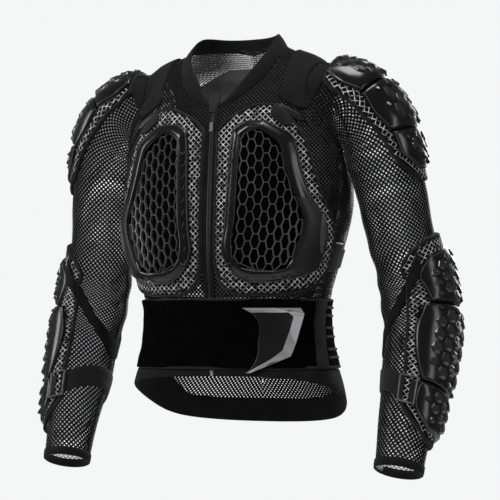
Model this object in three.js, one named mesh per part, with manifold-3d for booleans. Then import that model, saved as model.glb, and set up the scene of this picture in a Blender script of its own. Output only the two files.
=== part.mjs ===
// Long-sleeved armoured mesh jacket for motorcycling, held in its worn shape. Millimetres, +Z up.
// It faces -Y. The origin lies between the shoulders, on the body's middle plane, at neck-base height.
// Left and right are the wearer's: left is +X.
import * as THREE from 'three';
import Module from 'manifold-3d';

const wasm = await Module();
wasm.setup();

// Driving sizes of the garment
const CHEST_WIDTH = 402;
const CHEST_DEPTH = 240;
const BODY_LENGTH = 620;
const SLEEVE_DROP = 614;
const SLEEVE_WIDTH = 124;
const SHOULDER_SEAT_DEPTH = 68;
const BODY_ROUNDNESS = 2.35;

// Cloth, gaps and how far a cutting solid reaches past what it cuts
const CLOTH = 2.4;
const CLEARANCE = 0.35;
const ROOM_STEPS = 12;
const FACET_CLEARANCE = 1.85;
const SLEEVE_BEND_CLEARANCE = 1.3;
const WIDEST_FACET = 36;
const SEAM_GAP = 0.5;
const REACH = 8;
const FULL_TURN = 360;
const SHOULDER_SEARCH = 1 / 3;

// Neck opening and stand-up collar
const NECK_WIDTH = 182;
const NECK_DEPTH = 176;
const NECK_MIDDLE = -6;
const COLLAR_TOP_WIDTH = 146;
const COLLAR_TOP_DEPTH = 170;
const COLLAR_WALL = 2.4;
const COLLAR_SINK = 4;
const COLLAR_NOTCH = 30;

// Front fastening
const ZIP_GAP = 7;
const PLACKET_STEPS = 6;
const ZIP_STEPS = 7;
const ZIP_CHAIN_RISE = 0.5;
const ZIP_STOP_LENGTH = 7;
const PLACKET_WIDTH = 6.6;
const PLACKET_RISE = 1.6;
const SLIDER_LENGTH = 15;
const SLIDER_RISE = 4.5;
const GARAGE_RISE = 3.4;

// Armour: soft pads with hard shells on them
const CHEST_PAD_RISE = 8;
const CHEST_SHELL_RISE = 18;
const HONEYCOMB_RISE = 13;
const CELL_PITCH = 16;
const CELL_HEIGHT = 31;
const CELL_WALL = 2;
const CELL_LEAST = 1.3;
const LIMB_PAD_RISE = 8;
const LIMB_PLATE_RISE = 15;
const BACK_PAD_RISE = 9;
const BACK_SHELL_RISE = 15;

// Straps, belt, badge and bindings
const STRAP_RISE = 2.6;
const ELBOW_STRAP_WIDTH = 42;
const FOREARM_STRAP_WIDTH = 36;
const BUCKLE_RISE = 3.4;
const BUCKLE_SEAT = 1.8;
const TAB_RISE = 2.4;
const BELT_RISE = 4.2;
const BADGE_BASE_RISE = 3;
const BADGE_TRIM_RISE = 2.4;
const HEM_BAND_WIDTH = 24;
const BINDING_RISE = 1.8;

// Sections of the body, lowest first: heights are shares of the body length, half widths of the chest
// width, and the front, back and side lines' places of the chest depth.
const BODY_ROWS = [
  { height: -1.065, half: 0.478, front: -0.467, back: 0.55, side: 0.042 },
  { height: -0.871, half: 0.443, front: -0.442, back: 0.525, side: 0.05 },
  { height: -0.79, half: 0.41, front: -0.438, back: 0.508, side: 0.05 },
  { height: -0.71, half: 0.393, front: -0.446, back: 0.496, side: 0.046 },
  { height: -0.637, half: 0.403, front: -0.471, back: 0.496, side: 0.042 },
  { height: -0.565, half: 0.435, front: -0.496, back: 0.504, side: 0.033 },
  { height: -0.468, half: 0.478, front: -0.5, back: 0.521, side: 0.033 },
  { height: -0.363, half: 0.5, front: -0.483, back: 0.533, side: 0.042 },
  { height: -0.25, half: 0.489, front: -0.455, back: 0.545, side: 0.05 },
  { height: -0.177, half: 0.475, front: -0.425, back: 0.525, side: 0.058 },
  { height: -0.113, half: 0.458, front: -0.358, back: 0.487, side: 0.062 },
  { height: -0.068, half: 0.443, front: -0.283, back: 0.454, side: 0.067 },
  { height: -0.013, half: 0.391, front: -0.179, back: 0.4, side: 0.075 },
  { height: 0.006, half: 0.351, front: -0.133, back: 0.379, side: 0.075 },
  { height: 0.034, half: 0.249, front: -0.046, back: 0.354, side: 0.083 },
  { height: 0.068, half: 0.149, front: 0.05, back: 0.329, side: 0.1 },
];

// The sleeve's middle line from shoulder to wrist: out in chest widths, back in chest depths, drop in
// sleeve drops, and the half sizes across and front to back in sleeve widths.
const SLEEVE_ROWS = [
  { out: 0.274, back: 0.05, drop: 0, wide: 0.468, deep: 0.5 },
  { out: 0.398, back: 0.05, drop: 0.003, wide: 0.5, deep: 0.532 },
  { out: 0.51, back: 0.058, drop: 0.026, wide: 0.508, deep: 0.532 },
  { out: 0.592, back: 0.075, drop: 0.091, wide: 0.5, deep: 0.516 },
  { out: 0.637, back: 0.1, drop: 0.191, wide: 0.468, deep: 0.492 },
  { out: 0.699, back: 0.208, drop: 0.407, wide: 0.452, deep: 0.476 },
  { out: 0.736, back: 0.258, drop: 0.516, wide: 0.468, deep: 0.484 },
  { out: 0.759, back: 0.225, drop: 0.622, wide: 0.46, deep: 0.484 },
  { out: 0.759, back: 0.108, drop: 0.736, wide: 0.427, deep: 0.452 },
  { out: 0.744, back: -0.142, drop: 0.945, wide: 0.323, deep: 0.339 },
  { out: 0.739, back: -0.196, drop: 1, wide: 0.306, deep: 0.323 },
];

// The hem line and the collar's upper edge, seen from the side: place in chest depths, height in body lengths
const HEM_LINE = [
  { back: -0.56, height: -0.852 },
  { back: -0.46, height: -0.856 },
  { back: -0.33, height: -0.864 },
  { back: -0.08, height: -0.892 },
  { back: 0.19, height: -0.935 },
  { back: 0.38, height: -0.976 },
  { back: 0.6, height: -1.003 },
];
const COLLAR_LINE = [
  { back: -0.4, height: -0.106 },
  { back: -0.17, height: 0.008 },
  { back: 0.04, height: 0.074 },
  { back: 0.34, height: 0.092 },
];

// Outlines on the body for the left side: heights in body lengths, from and to as angles in degrees
// about the body's axis, where 0 is the front and 90 the side.
const CHEST_PAD_ROWS = [
  { height: -0.142, from: 23, to: 32 },
  { height: -0.166, from: 13, to: 37 },
  { height: -0.205, from: 4.2, to: 43.4 },
  { height: -0.26, from: 3.4, to: 48.5 },
  { height: -0.322, from: 3.2, to: 51.5 },
  { height: -0.38, from: 3.2, to: 56.3 },
  { height: -0.472, from: 3.4, to: 70 },
  { height: -0.54, from: 3.6, to: 73.5 },
  { height: -0.578, from: 4.4, to: 72.5 },
  { height: -0.61, from: 7, to: 66 },
  { height: -0.634, from: 13, to: 50 },
  { height: -0.646, from: 21, to: 35 },
];
// The chest shell's outline and, beside it, the window that is cut through it
const CHEST_SHELL_ROWS = [
  { height: -0.19, from: 18, to: 27, windowHeight: -0.215, windowFrom: 19.5, windowTo: 24.5 },
  { height: -0.205, from: 12.5, to: 32, windowHeight: -0.228, windowFrom: 16.5, windowTo: 28 },
  { height: -0.225, from: 11.5, to: 39, windowHeight: -0.253, windowFrom: 15.8, windowTo: 33 },
  { height: -0.26, from: 10.6, to: 42, windowHeight: -0.28, windowFrom: 15.4, windowTo: 34.5 },
  { height: -0.315, from: 10, to: 43.8, windowHeight: -0.325, windowFrom: 15, windowTo: 36.3 },
  { height: -0.38, from: 9.5, to: 48.5, windowHeight: -0.385, windowFrom: 14.6, windowTo: 40.2 },
  { height: -0.468, from: 9, to: 62, windowHeight: -0.45, windowFrom: 14.5, windowTo: 46 },
  { height: -0.548, from: 9.2, to: 62.5, windowHeight: -0.52, windowFrom: 14, windowTo: 44.6 },
  { height: -0.577, from: 13, to: 59.5, windowHeight: -0.56, windowFrom: 17, windowTo: 42.4 },
  { height: -0.597, from: 17.5, to: 46, windowHeight: -0.573, windowFrom: 21, windowTo: 40 },
  { height: -0.611, from: 23, to: 30, windowHeight: -0.578, windowFrom: 26, windowTo: 36 },
];
const BADGE_ROWS = [
  { height: -0.676, from: 20, to: 53.5 },
  { height: -0.692, from: 26, to: 56 },
  { height: -0.7, from: 30, to: 55.5 },
  { height: -0.774, from: 28.5, to: 48.5 },
  { height: -0.806, from: 25, to: 44.5 },
  { height: -0.848, from: 20, to: 22 },
];
const BADGE_FACE_ROWS = [
  { height: -0.688, from: 10, to: 46 },
  { height: -0.7, from: 10, to: 49 },
  { height: -0.789, from: 10, to: 40.5 },
  { height: -0.811, from: 10, to: 34 },
  { height: -0.846, from: 10, to: 20.5 },
];
const BACK_PAD_ROWS = [
  { height: 0.008, from: 162, to: 198 },
  { height: -0.03, from: 146, to: 214 },
  { height: -0.1, from: 138, to: 222 },
  { height: -0.3, from: 136, to: 224 },
  { height: -0.48, from: 138, to: 222 },
  { height: -0.6, from: 142, to: 218 },
  { height: -0.64, from: 144, to: 216 },
];
const BACK_SHELL_ROWS = [
  { height: -0.05, from: 160, to: 200 },
  { height: -0.1, from: 152, to: 208 },
  { height: -0.3, from: 149, to: 211 },
  { height: -0.48, from: 152, to: 208 },
  { height: -0.58, from: 156, to: 204 },
  { height: -0.61, from: 160, to: 200 },
];
const CHEST_TAB_ROWS = [
  { height: -0.148, from: 31, to: 32.4 },
  { height: -0.172, from: 29.5, to: 36.8 },
  { height: -0.206, from: 36, to: 41.5 },
];
const SHOULDER_BUCKLE_ROWS = [
  { height: -0.142, from: 33, to: 35 },
  { height: -0.158, from: 34.5, to: 40.5 },
  { height: -0.172, from: 38, to: 45.5 },
  { height: -0.188, from: 43, to: 47 },
];

// Outlines on the sleeve: along is a share of the sleeve's length from its root, from and to are angles
// in degrees round it, where 0 is the outer side, 90 the front and -90 the back. A plate's seat is its
// height over the pad, in millimetres.
const SHOULDER_PAD_ROWS = [
  { along: 0.078, from: -60, to: 60 },
  { along: 0.115, from: -75, to: 75 },
  { along: 0.17, from: -79, to: 79 },
  { along: 0.243, from: -66, to: 66 },
  { along: 0.3, from: -46, to: 46 },
  { along: 0.339, from: -12, to: 12 },
];
const SHOULDER_PLATES = [
  {
    seat: 4.5,
    rows: [
      { along: 0.082, from: -46, to: 46 },
      { along: 0.11, from: -61, to: 61 },
      { along: 0.144, from: -60, to: 60 },
    ],
  },
  {
    seat: 5.1,
    rows: [
      { along: 0.15, from: -61, to: 61 },
      { along: 0.19, from: -64, to: 64 },
      { along: 0.226, from: -55, to: 55 },
    ],
  },
  {
    seat: 5.1,
    rows: [
      { along: 0.232, from: -53, to: 53 },
      { along: 0.282, from: -41, to: 41 },
      { along: 0.313, from: -15, to: 15 },
    ],
  },
];
const FOREARM_PAD_ROWS = [
  { along: 0.462, from: -46, to: 28 },
  { along: 0.482, from: -80, to: 64 },
  { along: 0.56, from: -100, to: 84 },
  { along: 0.68, from: -106, to: 93 },
  { along: 0.797, from: -104, to: 89 },
  { along: 0.89, from: -92, to: 76 },
  { along: 0.932, from: -40, to: 24 },
];
const FOREARM_PLATES = [
  {
    seat: 4.7,
    rows: [
      { along: 0.5, from: -50, to: 38 },
      { along: 0.522, from: -71, to: 57 },
      { along: 0.59, from: -76, to: 61 },
      { along: 0.619, from: -70, to: 56 },
    ],
  },
  {
    seat: 5.1,
    rows: [
      { along: 0.626, from: -78, to: 66 },
      { along: 0.69, from: -92, to: 79 },
      { along: 0.774, from: -86, to: 71 },
      { along: 0.811, from: -76, to: 61 },
    ],
  },
  {
    seat: 3,
    rows: [
      { along: 0.818, from: -76, to: 61 },
      { along: 0.838, from: -80, to: 65 },
      { along: 0.886, from: -72, to: 57 },
      { along: 0.911, from: -45, to: 30 },
    ],
  },
];
const FOREARM_BUCKLE_ROWS = [
  { along: 0.782, from: 73, to: 95 },
  { along: 0.848, from: 71, to: 95 },
];
const BUCKLE_EYE_ROWS = [
  { along: 0.794, from: 77, to: 91 },
  { along: 0.836, from: 76, to: 90 },
];

// Outlines over the shoulder: angle in degrees about a line across the body, where 0 is forward, 90
// straight up and 180 backward, from and to in chest widths away from the middle.
const SHOULDER_STRAP_ROWS = [
  { turn: 11, from: 0.34, to: 0.362 },
  { turn: 21, from: 0.272, to: 0.365 },
  { turn: 40, from: 0.27, to: 0.366 },
  { turn: 60, from: 0.27, to: 0.37 },
  { turn: 80, from: 0.271, to: 0.38 },
  { turn: 105, from: 0.271, to: 0.38 },
  { turn: 130, from: 0.26, to: 0.372 },
  { turn: 150, from: 0.24, to: 0.36 },
  { turn: 165, from: 0.23, to: 0.34 },
];
const SHOULDER_YOKE_ROWS = [
  { turn: 12, from: 0.366, to: 0.371 },
  { turn: 30, from: 0.368, to: 0.403 },
  { turn: 48, from: 0.37, to: 0.433 },
  { turn: 56, from: 0.372, to: 0.441 },
  { turn: 68, from: 0.396, to: 0.446 },
];

// Single sizes of strips that follow the cloth, as angles or shares like those above
const BELT_TOP = -0.652;
const BELT_BOTTOM = -0.838;
const BELT_FLAP_FROM = -90;
const BELT_FLAP_TO = 54;
const GARAGE_ROWS = [
  { height: -0.108, from: -3.6, to: 2.8 },
  { height: -0.13, from: -3.4, to: 2.2 },
  { height: -0.158, from: -2, to: 1.2 },
];
const SIDE_STRAP = { top: -0.516, bottom: -0.566, from: 88, to: 134 };
const SIDE_BUCKLE = { top: -0.502, bottom: -0.58, from: 76, to: 89.5 };
const ELBOW_STRAP = { middle: 0.611, tilt: 0.061, from: 56, to: 290 };
const FOREARM_STRAP = { middle: 0.79, tilt: 0.02, from: 94, to: 256 };
const CUFF_FROM = 0.974;
const CELLS_FROM = 17;
const PLACKET_TOP = -0.162;
const ZIP_TOP = -0.165;
const ZIP_BOTTOM = -0.842;
const ZIP_REACH = 0.006;
const CELL_RIM = 0.004;
const CELL_LEAN = 0.0003;
const LEAST_STEP = { turn: 0.3, share: 0.0015 };
const SHOULDER_CENTRE = { back: 0.042, height: -0.177 };

// Fineness of the faceted solids
const BODY_SIDES = 20;
const SLEEVE_SIDES = 12;
const NECK_SIDES = 20;
const CHEST_COLUMNS = 4;

const LEFT = 1;
const RIGHT = -1;

const MATERIALS = {
  mesh: { color: 0x17181a, roughness: 0.85, metalness: 0 },
  stretch: { color: 0x1e1f21, roughness: 0.8, metalness: 0 },
  velour: { color: 0x0c0c0d, roughness: 0.95, metalness: 0 },
  webbing: { color: 0x141415, roughness: 0.7, metalness: 0 },
  pad: { color: 0x2b2c2f, roughness: 0.8, metalness: 0 },
  shell: { color: 0x1b1c1e, roughness: 0.28, metalness: 0 },
  plastic: { color: 0x101011, roughness: 0.4, metalness: 0 },
  silver: { color: 0xb4b6b9, roughness: 0.35, metalness: 0.7 },
  flap: { color: 0x5a5c60, roughness: 0.7, metalness: 0 },
};

// Smooth curve through a table's column at uneven stations
function track(stations, values, place) {
  const last = stations.length - 1;
  const x = THREE.MathUtils.clamp(place, stations[0], stations[last]);
  const rise = (k) => (values[k + 1] - values[k]) / (stations[k + 1] - stations[k]);
  const slope = (k) => {
    if (k === 0) return rise(0);
    if (k === last) return rise(last - 1);
    const before = stations[k] - stations[k - 1];
    const after = stations[k + 1] - stations[k];
    return (rise(k - 1) * after + rise(k) * before) / (before + after);
  };
  let i = 0;
  while (i < last - 1 && x > stations[i + 1]) i += 1;
  const span = stations[i + 1] - stations[i];
  const t = (x - stations[i]) / span;
  const swing = t * (1 - t) * ((1 - t) * slope(i) - t * slope(i + 1)) * span;
  const ease = t * t * (3 - 2 * t);
  return values[i] * (1 - ease) + values[i + 1] * ease + swing;
}

function column(rows, key, scale = 1) {
  return rows.map((row) => row[key] * scale);
}

// The body's surface
const BODY = {
  height: column(BODY_ROWS, 'height', BODY_LENGTH),
  half: column(BODY_ROWS, 'half', CHEST_WIDTH),
  front: column(BODY_ROWS, 'front', CHEST_DEPTH),
  back: column(BODY_ROWS, 'back', CHEST_DEPTH),
  side: column(BODY_ROWS, 'side', CHEST_DEPTH),
};

function bodySection(z) {
  const read = (key) => track(BODY.height, BODY[key], z);
  const side = read('side');
  return { half: read('half'), side, front: side - read('front'), back: read('back') - side };
}

function bodyPoint(degrees, z) {
  const { half, side, front, back } = bodySection(z);
  const turn = THREE.MathUtils.degToRad(degrees);
  const across = Math.sin(turn);
  const forward = Math.cos(turn);
  const sum = Math.abs(across) ** BODY_ROUNDNESS + Math.abs(forward) ** BODY_ROUNDNESS;
  const size = sum ** (1 / BODY_ROUNDNESS);
  const depth = forward > 0 ? front : back;
  return new THREE.Vector3(half * across / size, side - depth * forward / size, z);
}

// The body surface's height over a place inside its outline
function bodyTop({ x, y }) {
  let low = BODY.height[0] * SHOULDER_SEARCH;
  let high = BODY.height[BODY.height.length - 1];
  while (high - low > 1e-3) {
    const middle = (low + high) / 2;
    if (insideBody(new THREE.Vector3(x, y, middle))) low = middle;
    else high = middle;
  }
  return low;
}

function insideBody(point) {
  const { half, side, front, back } = bodySection(point.z);
  const depth = point.y < side ? front : back;
  const across = Math.abs(point.x / half) ** BODY_ROUNDNESS;
  return across + Math.abs((point.y - side) / depth) ** BODY_ROUNDNESS < 1;
}

// Where a straight line from a point inside the body leaves it
function leaveBody(start, direction) {
  let near = 0;
  let far = CHEST_WIDTH;
  const at = (reach) => start.clone().addScaledVector(direction, reach);
  while (far - near > 1e-4) {
    const middle = (near + far) / 2;
    if (insideBody(at(middle))) near = middle;
    else far = middle;
  }
  return at(near);
}

function bodySurface(side) {
  const at = (angle, height) => bodyPoint(side * angle, height * BODY_LENGTH);
  return { outward: side, steps: [0.05, 0.0005], at };
}

function shoulderSurface(side) {
  const at = (share, turn) => {
    const x = share * CHEST_WIDTH;
    const y = SHOULDER_CENTRE.back * CHEST_DEPTH;
    const angle = THREE.MathUtils.degToRad(turn);
    const start = new THREE.Vector3(side * x, y, SHOULDER_CENTRE.height * BODY_LENGTH);
    return leaveBody(start, new THREE.Vector3(0, -Math.cos(angle), Math.sin(angle)));
  };
  return { outward: side, steps: [0.0005, 0.1], at };
}

// The sleeve's surface
const SLEEVE = {
  x: column(SLEEVE_ROWS, 'out', CHEST_WIDTH),
  y: column(SLEEVE_ROWS, 'back', CHEST_DEPTH),
  z: column(SLEEVE_ROWS, 'drop', -SLEEVE_DROP).map((z) => z - SHOULDER_SEAT_DEPTH),
  wide: column(SLEEVE_ROWS, 'wide', SLEEVE_WIDTH),
  deep: column(SLEEVE_ROWS, 'deep', SLEEVE_WIDTH),
};
SLEEVE.reach = SLEEVE.x.map(() => 0);
for (let i = 1; i < SLEEVE.x.length; i += 1) {
  const steps = ['x', 'y', 'z'].map((key) => SLEEVE[key][i] - SLEEVE[key][i - 1]);
  SLEEVE.reach[i] = SLEEVE.reach[i - 1] + Math.hypot(...steps);
}
const SLEEVE_LENGTH = SLEEVE.reach[SLEEVE.reach.length - 1];

function sleeveMiddle(reach) {
  const read = (key) => track(SLEEVE.reach, SLEEVE[key], reach);
  return new THREE.Vector3(read('x'), read('y'), read('z'));
}

function sleevePoint(degrees, reach) {
  const onCurve = THREE.MathUtils.clamp(reach, 1, SLEEVE_LENGTH - 1);
  const along = sleeveMiddle(onCurve + 1).sub(sleeveMiddle(onCurve - 1)).normalize();
  const middle = sleeveMiddle(onCurve).addScaledVector(along, reach - onCurve);
  const outer = new THREE.Vector3(1, 0, 0).addScaledVector(along, -along.x).normalize();
  const front = new THREE.Vector3().crossVectors(along, outer);
  const turn = THREE.MathUtils.degToRad(degrees);
  const wide = track(SLEEVE.reach, SLEEVE.wide, reach);
  const deep = track(SLEEVE.reach, SLEEVE.deep, reach);
  return middle.addScaledVector(outer, wide * Math.cos(turn)).addScaledVector(front, deep * Math.sin(turn));
}

function sleeveSurface(side) {
  const flip = new THREE.Vector3(side, 1, 1);
  const at = (angle, along) => sleevePoint(angle, along * SLEEVE_LENGTH).multiply(flip);
  return { outward: side, steps: [0.05, 0.0005], at };
}

// A point raised off a surface along its normal
function raised(surface, u, v, lift) {
  const [stepU, stepV] = surface.steps;
  const across = surface.at(u + stepU, v).sub(surface.at(u - stepU, v));
  const along = surface.at(u, v + stepV).sub(surface.at(u, v - stepV));
  const normal = across.cross(along).normalize().multiplyScalar(surface.outward);
  return surface.at(u, v).addScaledVector(normal, lift);
}

// A closed solid from points and triangles, turned the right way out
function closed(points, triangles) {
  const vertProperties = new Float32Array(points.flatMap((point) => point.toArray()));
  const make = (faces) => {
    const triVerts = new Uint32Array(faces.flat());
    return new wasm.Manifold(new wasm.Mesh({ numProp: 3, vertProperties, triVerts }));
  };
  const solid = make(triangles);
  return solid.volume() > 0 ? solid : make(triangles.map(([a, b, c]) => [a, c, b]));
}

// A slab that follows a surface: the grid's rows of [u, v] at two lifts, with walls round its edge
function slab(surface, grid, low, high, ring = false) {
  const rows = grid.length;
  const columns = grid[0].length;
  const points = [low, high].flatMap((lift) => grid.flat().map(([u, v]) => raised(surface, u, v, lift)));
  const index = (layer, row, col) => (layer * rows + row) * columns + (col % columns);
  const triangles = [];
  const quad = (a, b, c, d) => triangles.push([a, b, c], [a, c, d]);
  const lastColumn = ring ? columns : columns - 1;
  for (let row = 0; row < rows - 1; row += 1) {
    for (let col = 0; col < lastColumn; col += 1) {
      const corner = (layer, down, over) => index(layer, row + down, col + over);
      quad(corner(0, 0, 0), corner(0, 0, 1), corner(0, 1, 1), corner(0, 1, 0));
      quad(corner(1, 0, 0), corner(1, 1, 0), corner(1, 1, 1), corner(1, 0, 1));
    }
    if (!ring) {
      const end = columns - 1;
      quad(index(0, row, 0), index(0, row + 1, 0), index(1, row + 1, 0), index(1, row, 0));
      quad(index(0, row + 1, end), index(0, row, end), index(1, row, end), index(1, row + 1, end));
    }
  }
  const bottom = rows - 1;
  for (let col = 0; col < lastColumn; col += 1) {
    quad(index(0, 0, col + 1), index(0, 0, col), index(1, 0, col), index(1, 0, col + 1));
    quad(index(0, bottom, col), index(0, bottom, col + 1), index(1, bottom, col + 1), index(1, bottom, col));
  }
  return closed(points, triangles);
}

// How far a flat facet sinks below the round form that it stands for
function sag(radius, degrees) {
  return radius * (1 - Math.cos(THREE.MathUtils.degToRad(degrees / 2)));
}

// Columns for an outline round a sleeve, so that no facet is wider than the widest allowed
function columnsFor(rows) {
  return Math.ceil(Math.max(...rows.map((row) => row.to - row.from)) / WIDEST_FACET);
}

// Grid of an outline given as rows, each spread evenly from one side to the other
function spread(rows, key, columns) {
  const across = (row, i) => row.from + (row.to - row.from) * i / columns;
  return rows.map((row) => Array.from({ length: columns + 1 }, (_, i) => [across(row, i), row[key]]));
}

// Grid of a strip between two lines, from one angle to another
function strip(top, bottom, from, to, columns, rows = 1) {
  return Array.from({ length: rows + 1 }, (_, row) => Array.from({ length: columns + 1 }, (_, i) => {
    const angle = from + (to - from) * i / columns;
    return [angle, top(angle) + (bottom(angle) - top(angle)) * row / rows];
  }));
}

// A solid of stacked rings of points, closed by a fan at each end
function stack(rings) {
  const count = rings[0].length;
  const points = rings.flat();
  const middle = (ring) => ring.reduce((sum, p) => sum.add(p), new THREE.Vector3()).divideScalar(count);
  const triangles = [];
  for (let row = 0; row < rings.length - 1; row += 1) {
    for (let i = 0; i < count; i += 1) {
      const [a, b] = [row * count + i, row * count + (i + 1) % count];
      triangles.push([a, b, b + count], [a, b + count, a + count]);
    }
  }
  const [first, last] = [points.length, points.length + 1];
  points.push(middle(rings[0]), middle(rings[rings.length - 1]));
  const top = (rings.length - 1) * count;
  for (let i = 0; i < count; i += 1) {
    const next = (i + 1) % count;
    triangles.push([next, i, first], [top + i, top + next, last]);
  }
  return closed(points, triangles);
}

function turns(count, from = 0) {
  return Array.from({ length: count }, (_, i) => from + FULL_TURN * i / count);
}

// The whole body or sleeve as a filled form, raised or sunk by a lift
function bodyForm(lift) {
  const surface = bodySurface(LEFT);
  return stack(BODY_ROWS.map(({ height }) => turns(BODY_SIDES).map((u) => raised(surface, u, height, lift))));
}

function sleeveForm(side, lift, over = 0) {
  const surface = sleeveSurface(side);
  const shares = SLEEVE.reach.map((reach) => reach / SLEEVE_LENGTH);
  const stations = over > 0 ? [-over, ...shares, 1 + over] : shares;
  return stack(stations.map((share) => turns(SLEEVE_SIDES).map((u) => raised(surface, u, share, lift))));
}

function ellipseRing(wide, deep, middle, z) {
  return turns(NECK_SIDES).map((u) => {
    const turn = THREE.MathUtils.degToRad(u);
    return new THREE.Vector3(wide / 2 * Math.sin(turn), middle - deep / 2 * Math.cos(turn), z);
  });
}

// A three.js geometry as a solid
function solidOf(geometry) {
  const place = geometry.getAttribute('position');
  const points = [];
  const known = new Map();
  const remember = (i) => {
    const point = new THREE.Vector3().fromBufferAttribute(place, i);
    const key = point.toArray().map((value) => value.toFixed(4)).join();
    if (!known.has(key)) {
      known.set(key, points.length);
      points.push(point);
    }
    return known.get(key);
  };
  const order = geometry.index ? geometry.index.array : Array.from({ length: place.count }, (_, i) => i);
  const corners = Array.from(order).map(remember);
  const triangles = [];
  for (let i = 0; i < corners.length; i += 3) triangles.push(corners.slice(i, i + 3));
  return closed(points, triangles);
}

function box(low, high) {
  const size = new THREE.Vector3().subVectors(high, low);
  const middle = new THREE.Vector3().addVectors(low, high).divideScalar(2);
  return solidOf(new THREE.BoxGeometry(size.x, size.y, size.z).translate(middle.x, middle.y, middle.z));
}

// A block across the whole body whose outline is drawn in the middle plane, as [y, z] corners
function crossBlock(corners) {
  const shape = new THREE.Shape(corners.map(([y, z]) => new THREE.Vector2(y, z)));
  const geometry = new THREE.ExtrudeGeometry(shape, { depth: 2 * CHEST_WIDTH, bevelEnabled: false });
  geometry.translate(0, 0, -CHEST_WIDTH);
  geometry.applyMatrix4(new THREE.Matrix4().set(0, 0, 1, 0, 1, 0, 0, 0, 0, 1, 0, 0, 0, 0, 0, 1));
  return solidOf(geometry);
}

function largest(solid) {
  return solid.decompose().reduce((best, one) => (one.volume() > best.volume() ? one : best));
}

function cutAll(solid, tools) {
  return tools.reduce((rest, tool) => rest.subtract(tool), solid);
}

const part = new THREE.Group();

function add(name, solid, material) {
  const mesh = largest(solid).getMesh();
  const geometry = new THREE.BufferGeometry();
  geometry.setAttribute('position', new THREE.Float32BufferAttribute(Array.from(mesh.vertProperties), 3));
  geometry.setIndex(Array.from(mesh.triVerts));
  geometry.computeVertexNormals();
  const piece = new THREE.Mesh(geometry, new THREE.MeshStandardMaterial(MATERIALS[material]));
  piece.name = name;
  part.add(piece);
}

const SIDES = [['left', LEFT], ['right', RIGHT]];

// Filled forms that the cloth and everything on it are cut by
const bodyOuter = bodyForm(0);
const bodyKeep = bodyForm(CLEARANCE);
const sleeveInner = { left: sleeveForm(LEFT, -CLOTH, 0.02), right: sleeveForm(RIGHT, -CLOTH, 0.02) };
const garment = bodyKeep.add(sleeveForm(LEFT, CLEARANCE)).add(sleeveForm(RIGHT, CLEARANCE));

// Neck hole, hem cut and front slit
const FAR = 2 * BODY_LENGTH;
const neckHole = stack([-NECK_DEPTH, NECK_DEPTH].map((z) => (
  ellipseRing(NECK_WIDTH, NECK_DEPTH, NECK_MIDDLE, z))));
const hemCorners = HEM_LINE.map(({ back, height }) => [back * CHEST_DEPTH, height * BODY_LENGTH]);
const hemEnds = [hemCorners[hemCorners.length - 1][0], hemCorners[0][0]];
const hemCut = crossBlock([...hemCorners, ...hemEnds.map((y) => [y, -FAR])]);
const hemHeight = (y) => track(hemCorners.map(([at]) => at), hemCorners.map(([, z]) => z), y);

// A block that reaches past the body, but for the sides that are given
function beyond({ left = FAR, right = -FAR, front = -FAR, back = FAR }) {
  return box(new THREE.Vector3(right, front, -FAR), new THREE.Vector3(left, back, FAR));
}

function addBody() {
  const hollow = bodyForm(-CLOTH);
  const shell = cutAll(bodyOuter, [hollow, neckHole, hemCut, sleeveInner.left, sleeveInner.right]);
  const seam = SHOULDER_CENTRE.back * CHEST_DEPTH;
  const front = shell.subtract(beyond({ front: seam - SEAM_GAP / 2 }));
  add('left_front_mesh', front.subtract(beyond({ left: ZIP_GAP / 2 })), 'mesh');
  add('right_front_mesh', front.subtract(beyond({ right: -ZIP_GAP / 2 })), 'mesh');
  add('back_mesh', shell.subtract(beyond({ back: seam + SEAM_GAP / 2 })), 'mesh');
}

function addSleeves() {
  for (const [name, side] of SIDES) {
    add(`${name}_sleeve`, sleeveForm(side, 0).subtract(sleeveInner[name]).subtract(bodyKeep), 'mesh');
    const ring = [CUFF_FROM, 1].map((share) => turns(SLEEVE_SIDES).map((u) => [u, share]));
    add(`${name}_cuff`, slab(sleeveSurface(side), ring, 2 * CLEARANCE, BINDING_RISE, true), 'stretch');
  }
}

// The collar leans in from the neck hole's edge to its narrower upper edge
function addCollar() {
  const edge = COLLAR_LINE.map(({ back, height }) => [back * CHEST_DEPTH, height * BODY_LENGTH]);
  const upperAt = (y) => track(edge.map(([at]) => at), edge.map(([, z]) => z), y);
  const inset = 2 * CLEARANCE;
  const base = ellipseRing(NECK_WIDTH - inset, NECK_DEPTH - inset, NECK_MIDDLE, 0);
  const rim = ellipseRing(COLLAR_TOP_WIDTH, COLLAR_TOP_DEPTH, NECK_MIDDLE, 0);
  const low = base.map((point) => point.clone().setZ(bodyTop(point) - COLLAR_SINK));
  const high = rim.map((point) => point.clone().setZ(upperAt(point.y)));
  const inward = (point) => {
    const away = new THREE.Vector3(-point.x, NECK_MIDDLE - point.y, 0).normalize();
    return point.clone().addScaledVector(away, COLLAR_WALL);
  };
  const loops = [low, high, high.map(inward), low.map(inward)];
  const triangles = [];
  for (let loop = 0; loop < loops.length; loop += 1) {
    const after = (loop + 1) % loops.length;
    for (let i = 0; i < NECK_SIDES; i += 1) {
      const next = (i + 1) % NECK_SIDES;
      const [a, b] = [loop * NECK_SIDES + i, loop * NECK_SIDES + next];
      const [c, d] = [after * NECK_SIDES + next, after * NECK_SIDES + i];
      triangles.push([a, b, c], [a, c, d]);
    }
  }
  const notch = beyond({ left: COLLAR_NOTCH / 2, right: -COLLAR_NOTCH / 2, back: 0 });
  add('collar', closed(loops.flat(), triangles).subtract(notch), 'stretch');
}

// Something that lies on the cloth, cut to seat on it and on the solids that it lies over
function seated(surface, grid, rise, under = []) {
  return cutAll(slab(surface, grid, -REACH, rise), [garment, ...under]);
}

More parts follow.
